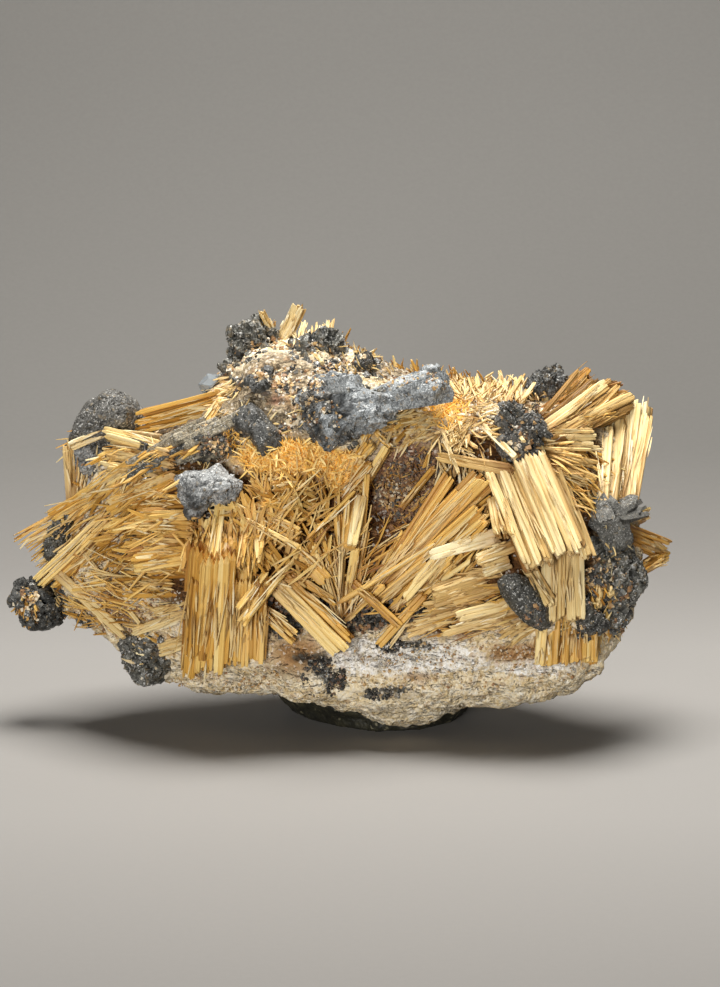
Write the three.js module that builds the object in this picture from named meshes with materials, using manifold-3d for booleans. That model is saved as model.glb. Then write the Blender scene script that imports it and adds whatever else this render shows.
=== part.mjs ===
// Rutile on hematite: a broken lump of pale feldspar rock with dark hematite crystals on it, and sheaves
// of golden rutile blades grown from them over the display face, the crest, the back and both ends.
// Millimetres, +Z up. The display face looks along -Y. The origin is on the rest face, under the middle
// of the lump.
import * as THREE from "three";
import { mergeVertices } from "three/addons/utils/BufferGeometryUtils.js";
import Module from "manifold-3d";

const wasm = await Module();
wasm.setup();

// ---------------------------------------------------------------- driving dimensions
const DEGREE = Math.PI / 180;
const GAP = 0.3; // clearance left between neighbouring crystals that the stone holds together
const ROCK_GAP = 0.36; // the same to the rock, whose faces lean away from the direction it is grown in
const ROCK_MIDDLE = new THREE.Vector3(1, 0, 24);
// From the middle to the fullest part of the display face and of the back. The lower a power is, the boxier
// that side's rim and swell are.
const ROCK_FRONT = { fullest: 16.5, rimPower: 0.6, swellPower: 0.55 };
const ROCK_BACK = { fullest: 18, rimPower: 0.8, swellPower: 0.75 };
const ROCK_LEAN = 0.16; // how far the lump leans back for each millimetre of height
const ROCK_DETAIL = 6; // subdivisions of the rock's faces
const ROOT_DEPTH = 2.5; // how far a blade reaches back into the stone before it is cut to the stone's face
const BLADE_THICK = 1.6;
const BLADE_LAP = 1.3; // a blade is this much wider than its share of the sheaf, so neighbours join
const FOOT_SIZE = new THREE.Vector3(22.5, 22, 9); // the massive hematite keel that the specimen rests on
const FOOT_MIDDLE = new THREE.Vector3(4.4, 3.6, 0);

// ---------------------------------------------------------------- where things are on the specimen
// Places are read off an elevation, as [across, rise]: millimetres to the right of the origin and up from
// the rest face, for an eye that looks at the lump from a little above its middle.
const EYE_DISTANCE = 410;
const EYE_TILT = 10 * DEGREE;
const SIGHT = new THREE.Vector3(2.5, 0, 29);

// An elevation's eye and the two directions of its sheet. Azimuth 0 is the display face and 180 the back.
function elevation(azimuth) {
  const back = new THREE.Vector3(
    Math.sin(azimuth) * Math.cos(EYE_TILT),
    -Math.cos(azimuth) * Math.cos(EYE_TILT),
    Math.sin(EYE_TILT),
  );
  const right = new THREE.Vector3(Math.cos(azimuth), Math.sin(azimuth), 0);
  const up = new THREE.Vector3().crossVectors(back, right);
  return { azimuth, eye: SIGHT.clone().addScaledVector(back, EYE_DISTANCE), right, up };
}
const FRONT = elevation(0);
const BACK = elevation(Math.PI);

// The line of sight through a place on the elevation's sheet.
function sight(view, [across, rise]) {
  const sheet = SIGHT.clone()
    .addScaledVector(view.right, across - SIGHT.dot(view.right))
    .addScaledVector(view.up, rise - SIGHT.dot(view.up));
  return new THREE.Ray(view.eye, sheet.sub(view.eye).normalize());
}

// ---------------------------------------------------------------- helpers: chance, noise, solids
// The large odd factors that scatter whole numbers, and the count of values that 32 bits hold.
const SCATTER = [374761393, 668265263, 1440662683, 1274126177];
const SPAN = 2 ** 32;

// A repeatable number from 0 to 1 for a whole-numbered corner of space.
function chance(i, j, k) {
  let mixed = Math.imul(i, SCATTER[0]) + Math.imul(j, SCATTER[1]) + Math.imul(k, SCATTER[2]);
  mixed = Math.imul(mixed ^ (mixed >>> 13), SCATTER[3]);
  return ((mixed ^ (mixed >>> 16)) >>> 0) / SPAN;
}

// A repeatable stream of numbers from 0 to 1.
function dice(seed) {
  let turn = 0;
  return () => {
    turn += 1;
    return chance(seed, turn, seed);
  };
}

// Smooth noise from -1 to 1, with a random value at each whole-numbered corner of space.
function noise(x, y, z) {
  const ease = (t) => t * t * (3 - 2 * t);
  const mix = (a, b, t) => a + (b - a) * t;
  const [i, j, k] = [Math.floor(x), Math.floor(y), Math.floor(z)];
  const [u, v, w] = [ease(x - i), ease(y - j), ease(z - k)];
  const edge = (dj, dk) => mix(chance(i, j + dj, k + dk), chance(i + 1, j + dj, k + dk), u);
  return mix(mix(edge(0, 0), edge(1, 0), v), mix(edge(0, 1), edge(1, 1), v), w) * 2 - 1;
}

const WELD = 1e-4; // corners closer together than this are one

// A closed three.js geometry as a manifold solid.
function solidOf(geometry) {
  const bare = geometry.clone();
  bare.deleteAttribute("normal");
  bare.deleteAttribute("uv");
  const merged = mergeVertices(bare, WELD);
  return new wasm.Manifold(
    new wasm.Mesh({
      numProp: 3,
      vertProperties: merged.attributes.position.array,
      triVerts: new Uint32Array(merged.index.array),
    }),
  );
}

// A manifold solid as a three.js geometry.
function geometryOf(solid) {
  const { numProp, vertProperties, triVerts } = solid.getMesh();
  const positions = new Float32Array((vertProperties.length / numProp) * 3);
  for (let i = 0; i < positions.length / 3; i += 1) {
    positions.set(vertProperties.subarray(i * numProp, i * numProp + 3), i * 3);
  }
  const geometry = new THREE.BufferGeometry();
  geometry.setAttribute("position", new THREE.BufferAttribute(positions, 3));
  geometry.setIndex(new THREE.BufferAttribute(new Uint32Array(triVerts), 1));
  return geometry;
}

const joined = (solids) => solids.reduce((sum, solid) => sum.add(solid));

// The largest of the bodies that a cut has left: the rest are slivers.
function largestBody(solid) {
  return solid.decompose().reduce((best, body) => (body.volume() > best.volume() ? body : best));
}

// Whether two solids' boxes meet.
function near(one, other) {
  const [a, b] = [one.boundingBox(), other.boundingBox()];
  return a.min.every((low, i) => low < b.max[i] && b.min[i] < a.max[i]);
}

// ---------------------------------------------------------------- the rock
// Its rim as [x, z], anticlockwise from the lower right end when seen from the front.
const ROCK_RIM = [
  [34, 9], [36, 15], [37.5, 21], [37, 27], [36, 34], [34, 38.5], [28, 40.5], [20, 41],
  [13, 42], [8, 43.5], [2, 45.5], [-3, 47.5], [-9, 48], [-12.5, 46], [-15.5, 42], [-20, 38],
  [-27, 36], [-31.5, 33], [-34, 28.5], [-35.5, 22.5], [-36, 17.5], [-34, 14.5], [-29, 11.5],
  [-25.5, 8], [-21, 5.8], [-13, 4.8], [-5, 4.4], [1, 3.2], [6.5, 1.4], [11, 1.8], [16, 3.4],
  [24, 5], [30, 6.6],
];
// Flat fracture faces, each an outward direction and its distance from the middle.
const FRACTURES = [
  [[0.25, 0.93, 0.28], 15.5], [[-0.5, 0.83, -0.1], 19], [[0.75, 0.62, -0.2], 25],
  [[-0.1, 0.75, -0.62], 20.5], [[-0.3, 0.72, 0.62], 19], [[0.55, 0.6, 0.6], 24],
  [[-0.86, 0.4, 0.25], 29], [[0.12, -0.78, -0.62], 23.5], [[-0.45, -0.7, -0.55], 22.5],
  [[0.7, -0.66, 0.2], 30], [[-0.78, -0.6, 0.1], 28], [[-0.1, -0.8, 0.6], 22],
];
// Swells (positive) and hollows of the display face: middle [x, z], reach [x, z] and height.
const SWELLS = [
  [[8, 30], [8, 8], -6],
  [[3, 14], [5, 8], -2.5],
  [[24, 24], [11, 11], 3],
  [[-14, 18], [9, 10], 2.5],
  [[20, 6], [16, 4], 1.8],
  [[-2, 40], [9, 4], 1.5],
];
// Coarse and fine unevenness of the broken faces: size of the lumps and how far they stand out.
const ROUGHNESS = [
  [9, 1.5],
  [4.5, 1.1],
];

// Distance from the middle to the rim, in the direction (x, z).
function rimRadius(x, z) {
  let radius = 0;
  ROCK_RIM.forEach(([x1, z1], i) => {
    const [x2, z2] = ROCK_RIM[(i + 1) % ROCK_RIM.length];
    const [ax, az] = [x1 - ROCK_MIDDLE.x, z1 - ROCK_MIDDLE.z];
    const [ex, ez] = [x2 - x1, z2 - z1];
    const cross = x * ez - z * ex;
    const along = (ax * ez - az * ex) / cross;
    const share = (ax * z - az * x) / cross;
    if (along > 0 && share >= 0 && share <= 1) radius = Math.max(radius, along);
  });
  return radius;
}

// The rock's surface in a direction, standing out by extra millimetres: a full, cushion-like front on the
// rim's outline, broken off flat by the fractures.
function rockPoint(direction, extra) {
  const { x, y, z } = direction;
  const flat = Math.hypot(x, z) || WELD;
  const { fullest, rimPower, swellPower } = y < 0 ? ROCK_FRONT : ROCK_BACK;
  const reach = rimRadius(x / flat, z / flat) * flat ** rimPower;
  const depth = fullest * Math.abs(y) ** swellPower * Math.sign(y);
  const point = new THREE.Vector3((x / flat) * reach, depth, (z / flat) * reach);
  for (const [normal, distance] of FRACTURES) {
    const out = new THREE.Vector3(...normal).normalize();
    const over = point.dot(out) - distance;
    if (over > 0) point.addScaledVector(out, -over);
  }
  point.add(ROCK_MIDDLE);
  const front = Math.max(0, -y);
  for (const [[middleX, middleZ], [sizeX, sizeZ], height] of SWELLS) {
    const fall = ((point.x - middleX) / sizeX) ** 2 + ((point.z - middleZ) / sizeZ) ** 2;
    point.y -= front * height * Math.exp(-fall);
  }
  point.y += (point.z - ROCK_MIDDLE.z) * ROCK_LEAN;
  const rough = ROUGHNESS.reduce(
    (sum, [size, height]) => sum + noise(point.x / size, point.y / size, point.z / size) * height,
    0,
  );
  return point.addScaledVector(direction, rough + extra);
}

function rockSolid(extra) {
  const geometry = new THREE.IcosahedronGeometry(1, ROCK_DETAIL);
  const places = geometry.attributes.position;
  const direction = new THREE.Vector3();
  for (let i = 0; i < places.count; i += 1) {
    direction.fromBufferAttribute(places, i).normalize();
    places.setXYZ(i, ...rockPoint(direction, extra).toArray());
  }
  return solidOf(geometry);
}

const rock = rockSolid(0);
const rockClearance = rockSolid(ROCK_GAP);
const bothSides = new THREE.MeshBasicMaterial({ side: THREE.DoubleSide });
const rockTarget = new THREE.Mesh(geometryOf(rock), bothSides);

// The plane through the rock's middle that leans with it.
const LEAN_PLANE = new THREE.Plane(new THREE.Vector3(0, 1, -ROCK_LEAN).normalize());
LEAN_PLANE.translate(ROCK_MIDDLE);

// The rock's surface at a place on an elevation, brought forward by out millimetres. Past the rock's rim it
// is the point of the sight line in the lean plane.
function onRock(place, out = 0, view = FRONT) {
  const ray = sight(view, place);
  const caster = new THREE.Raycaster(ray.origin, ray.direction);
  const [hit] = caster.intersectObject(rockTarget);
  const distance = hit ? hit.distance : (ray.distanceToPlane(LEAN_PLANE) ?? EYE_DISTANCE);
  return ray.at(distance - out, new THREE.Vector3());
}

// ---------------------------------------------------------------- the hematite crystals
// A crystal's rings of corners from its buried face to its crown: how wide each is, as a share of the
// outline, and how far it stands from the outline, as a share of half the thickness.
const CRYSTAL_RINGS = [
  [0.72, -1],
  [1, -0.1],
  [0.66, 0.8],
];
const CRYSTAL_CROWN = 1; // the middle of the crown, on the same scale
const CRYSTAL_JITTER = 0.22; // how unevenly the corners of a ring stand

// An angular crystal on a flat outline of [across, rise] places, clockwise. It faces [yaw, pitch] degrees
// away from the elevation's eye and stands out millimetres in front of the rock at its middle, or at the
// place called at.
function crystal({ outline, at, facing = [0, 10], thick = 4, out = 0, view = FRONT }, grown) {
  const random = dice(outline.length);
  const average = (axis) => outline.reduce((sum, place) => sum + place[axis], 0) / outline.length;
  const middlePlace = [average(0), average(1)];
  const [yaw, pitch] = [facing[0] * DEGREE + view.azimuth, facing[1] * DEGREE];
  const normal = new THREE.Vector3(
    Math.sin(yaw) * Math.cos(pitch),
    -Math.cos(yaw) * Math.cos(pitch),
    Math.sin(pitch),
  );
  const face = new THREE.Plane().setFromNormalAndCoplanarPoint(normal, onRock(at ?? middlePlace, out, view));
  const middle = sight(view, middlePlace).intersectPlane(face, new THREE.Vector3());
  const corners = outline.map((place) => sight(view, place).intersectPlane(face, new THREE.Vector3()));
  const half = thick / 2;
  const positions = [];
  for (const [share, height] of CRYSTAL_RINGS) {
    for (const corner of corners) {
      const uneven = (random() - 0.5) * CRYSTAL_JITTER;
      const spoke = corner.clone().sub(middle);
      const stretch = share * (1 + (share < 1 ? uneven : 0)) + grown / spoke.length();
      const lift = height * (half + grown) + uneven * half;
      const place = middle.clone().addScaledVector(spoke, stretch).addScaledVector(normal, lift);
      positions.push(...place.toArray());
    }
  }
  const count = corners.length;
  const foot = positions.length / 3;
  for (const height of [CRYSTAL_RINGS[0][1], CRYSTAL_CROWN]) {
    positions.push(...middle.clone().addScaledVector(normal, height * (half + grown)).toArray());
  }
  const faces = [];
  for (let i = 0; i < count; i += 1) {
    const next = (i + 1) % count;
    faces.push(foot, i, next);
    for (let ring = 0; ring < CRYSTAL_RINGS.length - 1; ring += 1) {
      const [low, high] = [ring * count, (ring + 1) * count];
      faces.push(low + i, high + next, low + next, low + i, high + i, high + next);
    }
    const rim = (CRYSTAL_RINGS.length - 1) * count;
    faces.push(rim + i, foot + 1, rim + next);
  }
  const geometry = new THREE.BufferGeometry();
  geometry.setAttribute("position", new THREE.Float32BufferAttribute(positions, 3));
  geometry.setIndex(faces);
  return solidOf(geometry);
}

// ---------------------------------------------------------------- the rutile sheaves
const SWELL_CHECKS = [0.2, 0.4, 0.6, 0.8]; // shares of a sheaf's length at which the rock under it is felt
const BLADE_TAPER = 0.82; // width and thickness of a blade's broken end, as a share of its root's
const BLADE_SPREAD = 1.05; // a sheaf's width at its tips, as a share of its width at its root
const BLADE_RAGGED = 0.22; // how much of their length the shortest blades of a sheaf fall short
const BLADE_UNEVEN = 0.25; // how far blades lie out of line, and differ in thickness, as a share of it
const SHEAF_ROOM = 1.7; // thickness of the room that a sheaf takes, as a share of its blades'

// One flat, four-sided blade with a slanting broken end, along +Z from its root at z = 0.
function bladeGeometry(width, thick, length, slant) {
  const geometry = new THREE.BoxGeometry(width, thick, length);
  geometry.translate(0, 0, length / 2);
  const places = geometry.attributes.position;
  for (let i = 0; i < places.count; i += 1) {
    if (places.getZ(i) > length / 2) {
      places.setZ(i, length + (places.getX(i) / width) * slant);
      places.setX(i, places.getX(i) * BLADE_TAPER);
      places.setY(i, places.getY(i) * BLADE_TAPER);
    }
  }
  return geometry;
}

// A sheaf's root and tip, its blades' flat direction and its side, from its two places on an elevation.
// Where the rock swells between them, the sheaf lies on the swell.
function sheafFrame({ root, tip, out = [0.6, 1.8], view = FRONT }) {
  const start = onRock(root, out[0], view);
  const end = onRock(tip, out[1], view);
  const toEye = view.eye.clone().sub(start).normalize();
  let sunk = 0;
  for (const share of SWELL_CHECKS) {
    const place = root.map((value, axis) => value + (tip[axis] - value) * share);
    const swell = onRock(place, 0, view).sub(start.clone().lerp(end, share));
    sunk = Math.max(sunk, swell.dot(toEye));
  }
  start.addScaledVector(toEye, sunk);
  end.addScaledVector(toEye, sunk);
  const axis = end.clone().sub(start).normalize();
  const normal = toEye.addScaledVector(axis, -toEye.dot(axis)).normalize();
  const side = new THREE.Vector3().crossVectors(axis, normal);
  return { start, end, side, normal };
}

// A blade from one point to another, reaching ROOT_DEPTH back behind the first.
function blade(from, to, side, width, thick, slant, grown) {
  const along = to.clone().sub(from);
  const length = along.length() + ROOT_DEPTH + 2 * grown;
  along.normalize();
  const bladeSide = side.clone().addScaledVector(along, -side.dot(along)).normalize();
  const flat = new THREE.Vector3().crossVectors(along, bladeSide);
  const geometry = bladeGeometry(width + 2 * grown, thick + 2 * grown, length, slant);
  const basis = new THREE.Matrix4().makeBasis(bladeSide, flat, along);
  basis.setPosition(from.clone().addScaledVector(along, -ROOT_DEPTH - grown));
  return solidOf(geometry.applyMatrix4(basis));
}

// A sheaf of blades that run side by side from root to tip.
function sheaf(spec, seed) {
  const { width, thick = BLADE_THICK, blades, spread = BLADE_SPREAD, ragged = BLADE_RAGGED } = spec;
  const random = dice(seed);
  const uneven = () => (random() * 2 - 1) * BLADE_UNEVEN;
  const { start, end, side, normal } = sheafFrame(spec);
  const bladeWidth = (width / blades) * (blades > 1 ? BLADE_LAP : 1);
  const solids = [];
  for (let i = 0; i < blades; i += 1) {
    const share = (i + 0.5) / blades - 0.5;
    const lift = thick * uneven();
    const cut = ragged * random();
    const bladeThick = thick * (1 + uneven());
    const slant = (random() - 0.5) * bladeWidth;
    const from = start.clone().addScaledVector(side, share * width).addScaledVector(normal, lift);
    const to = end.clone().addScaledVector(side, share * width * spread).addScaledVector(normal, lift);
    solids.push(blade(from, to.lerp(from, cut), side, bladeWidth, bladeThick, slant, 0));
  }
  return joined(solids);
}

// The room that a sheaf takes: one wide blade round them all.
function sheafRoom(spec) {
  const { width, thick = BLADE_THICK, spread = BLADE_SPREAD } = spec;
  const { start, end, side } = sheafFrame(spec);
  const widest = (width * Math.max(1, spread)) / Math.sqrt(BLADE_TAPER);
  return blade(start, end, side, widest, thick * SHEAF_ROOM, 0, GAP);
}

// ---------------------------------------------------------------- what grows where
// Each hematite crystal is a node, and those that have grown into one another share one. Outlines are
// clockwise.
const HEMATITE = {
  hematite_left_dome: [
    {
      outline: [
        [-34.4, 34.4], [-33.3, 37.2], [-31.6, 39.9], [-30.1, 40.8], [-28.8, 41.6], [-27.2, 41.1],
        [-25.5, 40.2], [-24.7, 38.8], [-25.4, 36.6], [-27.5, 34.6], [-31, 33.8],
      ],
      facing: [-12, 20],
      thick: 6.5,
    },
  ],
  hematite_left_patch: [
    {
      outline: [[-33.2, 34.4], [-31, 35.2], [-29.8, 33.6], [-30.2, 31.4], [-31.8, 30.8], [-33.4, 32]],
      facing: [-20, 10],
      thick: 2.6,
      out: 0.5,
    },
  ],
  hematite_ridge: [
    {
      outline: [
        [-27.4, 30.6], [-25.2, 33.1], [-21.8, 35.2], [-18.8, 36.8], [-15.8, 37.5], [-14.6, 36.4],
        [-13.4, 34.4], [-14.6, 32.8], [-18.6, 32.2], [-21.4, 32], [-24, 31], [-26.2, 29.6],
      ],
      facing: [-26, 25],
      thick: 3,
      out: 1.2,
    },
  ],
  hematite_rosette: [
    {
      outline: [
        [-20.4, 30.2], [-19.8, 31], [-18.3, 31.2], [-16.4, 31.5], [-15.2, 32.3], [-13.9, 30.8],
        [-12.6, 30.2], [-12.4, 29.3], [-13.8, 27.8], [-16.3, 27.4], [-17.6, 25.7], [-19, 25.5],
        [-19.9, 28.4],
      ],
      facing: [-5, 20],
      thick: 4.4,
      out: 1.8,
    },
  ],
  hematite_diamond: [
    {
      outline: [
        [-14.1, 37.9], [-12.4, 39.4], [-11.2, 39.9], [-9.9, 39], [-8.9, 37.7], [-7.5, 36.2],
        [-7.4, 34.5], [-9.7, 33.2], [-11.2, 35.4], [-13, 36.4],
      ],
      facing: [-14, 18],
      thick: 3.2,
      out: 0.8,
    },
  ],
  hematite_crest: [
    {
      outline: [
        [-3.4, 43.2], [0.1, 43.7], [1.6, 43.1], [2.8, 41.8], [6.9, 40.6], [7.2, 39], [5.9, 37.3],
        [4.7, 36.6], [2.5, 36.5], [0.6, 35.2], [-1.9, 33.9], [-4, 36.3], [-4.9, 37.9], [-4.6, 39.1],
        [-5.7, 40], [-4.7, 41.4],
      ],
      facing: [0, 30],
      thick: 5,
      out: 0.6,
    },
    {
      outline: [
        [3.6, 41.4], [6.7, 42.8], [9.6, 43.7], [11.4, 44.6], [12.3, 44.5], [13.1, 43.2], [13.8, 41.7],
        [12.2, 39.8], [9.4, 40], [6.7, 39.2], [4.2, 39.8],
      ],
      at: [3, 40],
      facing: [6, 34],
      thick: 3,
      out: 1.6,
    },
  ],
  hematite_peak_left: [
    {
      outline: [
        [-13.9, 47.6], [-13.5, 48.8], [-12.5, 49.5], [-11.4, 49.8], [-10.4, 50.5], [-9, 49.6],
        [-8.3, 48.5], [-8.5, 46.9], [-10.4, 46], [-11.2, 45.3], [-12.1, 44.6], [-13.6, 45.6],
      ],
      facing: [-20, 15],
      thick: 6,
    },
  ],
  hematite_peak_right: [
    {
      outline: [
        [-6.9, 46.5], [-6, 47.4], [-4.9, 48.1], [-3.4, 48.5], [-2.6, 49.2], [-1.2, 49.2], [0.3, 48.3],
        [0.8, 46.6], [0.1, 45.2], [-1.2, 44.7], [-3.7, 44.7], [-5.8, 45.3],
      ],
      facing: [10, 12],
      thick: 6,
    },
  ],
  hematite_crest_left: [
    {
      outline: [
        [-11.5, 42.5], [-10.4, 43.9], [-9, 44], [-8.4, 42.9], [-8.7, 41.4], [-9.9, 40.8], [-11, 41.4],
      ],
      thick: 3,
      out: 0.3,
    },
  ],
  hematite_crest_edge: [
    {
      outline: [[-14.9, 44.6], [-13.8, 45.2], [-12.8, 44.4], [-12.9, 43.2], [-14.2, 43]],
      thick: 2.6,
      out: 0.2,
    },
  ],
  hematite_crest_right: [
    {
      outline: [[1.6, 44.9], [2.5, 46.2], [3.7, 46.2], [4.3, 44.9], [4, 43.5], [2.9, 42.8], [1.8, 43.4]],
      thick: 3.4,
    },
  ],
  hematite_right_shoulder: [
    {
      outline: [
        [23.2, 42.2], [24.2, 43.3], [25.5, 43.8], [27, 44.4], [27.9, 43], [27.5, 41.4], [26.6, 40.2],
        [24.6, 40.2], [23.2, 41],
      ],
      facing: [0, 20],
      thick: 5,
      out: 0.4,
    },
  ],
  hematite_right_heart: [
    {
      outline: [
        [20.2, 39.8], [21.9, 39.9], [24, 39], [25.5, 37.6], [25.1, 36.4], [24.4, 35.6], [24.8, 34.2],
        [24.6, 32.5], [23.4, 31.6], [21.8, 31.4], [19.8, 32.2], [18.9, 33.2], [19, 34.9], [20.3, 36.2],
        [19.6, 38],
      ],
      facing: [-8, 20],
      thick: 4,
      out: 0.9,
    },
  ],
  hematite_star: [
    {
      outline: [
        [29.8, 28.6], [31, 27.8], [32.3, 28.6], [33.7, 28.4], [34.7, 26.8], [36.4, 28.4], [37.3, 28.2],
        [36.9, 27], [37.9, 26.7], [37.7, 25.6], [36.2, 24.9], [36, 23.6], [36.6, 22.4], [34.7, 20.9],
        [32.1, 20.2], [31.4, 21.9], [30.1, 23.8], [30.9, 25.4],
      ],
      facing: [22, 8],
      thick: 4,
      out: 1.2,
    },
  ],
  hematite_leaf: [
    {
      outline: [
        [19.7, 17.4], [20.4, 18.3], [21.9, 18.6], [23.9, 17.8], [25, 16.1], [26, 14.5], [26.3, 11.9],
        [25.2, 11.4], [23.3, 12.3], [21.7, 13.9], [20.4, 15.6],
      ],
      facing: [8, 5],
      thick: 2.6,
      out: 1.4,
    },
  ],
  hematite_right_end: [
    {
      outline: [
        [35.4, 21], [37.6, 19.8], [38, 17.6], [36.8, 16.2], [35.4, 14.2], [34.6, 11.7], [33.2, 10.2],
        [32.4, 11.8], [33, 14.2], [33.4, 17], [33.4, 20],
      ],
      facing: [30, 0],
      thick: 5,
    },
  ],
  hematite_right_foot: [
    {
      outline: [
        [29.4, 16.4], [30.6, 15.6], [31, 14.2], [32.6, 13.5], [33.4, 12.2], [32.9, 11.2], [31, 10.7],
        [29.9, 11.6], [29.3, 13.4],
      ],
      facing: [18, 0],
      thick: 3,
      out: 0.8,
    },
  ],
  hematite_left_end: [
    {
      outline: [
        [-41.1, 15.4], [-40.4, 17], [-39.1, 17.9], [-36.4, 17], [-34.8, 15.4], [-34.8, 13.4],
        [-35.6, 12.3], [-38, 11.9], [-39.6, 12.4], [-40.5, 13.8],
      ],
      facing: [-14, 0],
      thick: 7,
    },
  ],
  hematite_lower_left: [
    {
      outline: [
        [-27.3, 10.3], [-25.2, 10.8], [-22.9, 10.8], [-22.2, 9.3], [-21.4, 7.2], [-21.8, 5.5],
        [-23.4, 4.8], [-25, 5.2], [-26, 6.6], [-27.1, 7.6],
      ],
      facing: [-10, -12],
      thick: 5,
      out: 0.6,
    },
  ],
  hematite_left_band: [
    {
      outline: [
        [-36.8, 20.9], [-36.5, 22.5], [-35.8, 24.8], [-34.5, 26.3], [-32.8, 26], [-33.4, 24],
        [-34.4, 22], [-35.8, 19.8],
      ],
      facing: [-22, 10],
      thick: 3.4,
      out: 0.4,
    },
  ],
  hematite_back_plate: [
    {
      outline: [
        [7.4, 30], [9, 34], [13, 36.4], [18, 35.8], [21, 33], [20.4, 29], [17, 25.6], [12.6, 24.6],
        [8.8, 26.6],
      ],
      facing: [0, 10],
      thick: 4,
      view: BACK,
    },
  ],
  hematite_back_lump: [
    {
      outline: [
        [-22.8, 20], [-20.6, 22.6], [-17, 22], [-15, 19], [-16.4, 15.8], [-20, 14.8], [-22.6, 17],
      ],
      facing: [-10, 0],
      thick: 4.6,
      view: BACK,
    },
  ],
};
const QUARTZ = {
  outline: [[-17.8, 42.2], [-16.6, 43.6], [-14.9, 43.4], [-14.4, 41.6], [-15.2, 40.3], [-17, 40.6]],
};

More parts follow.
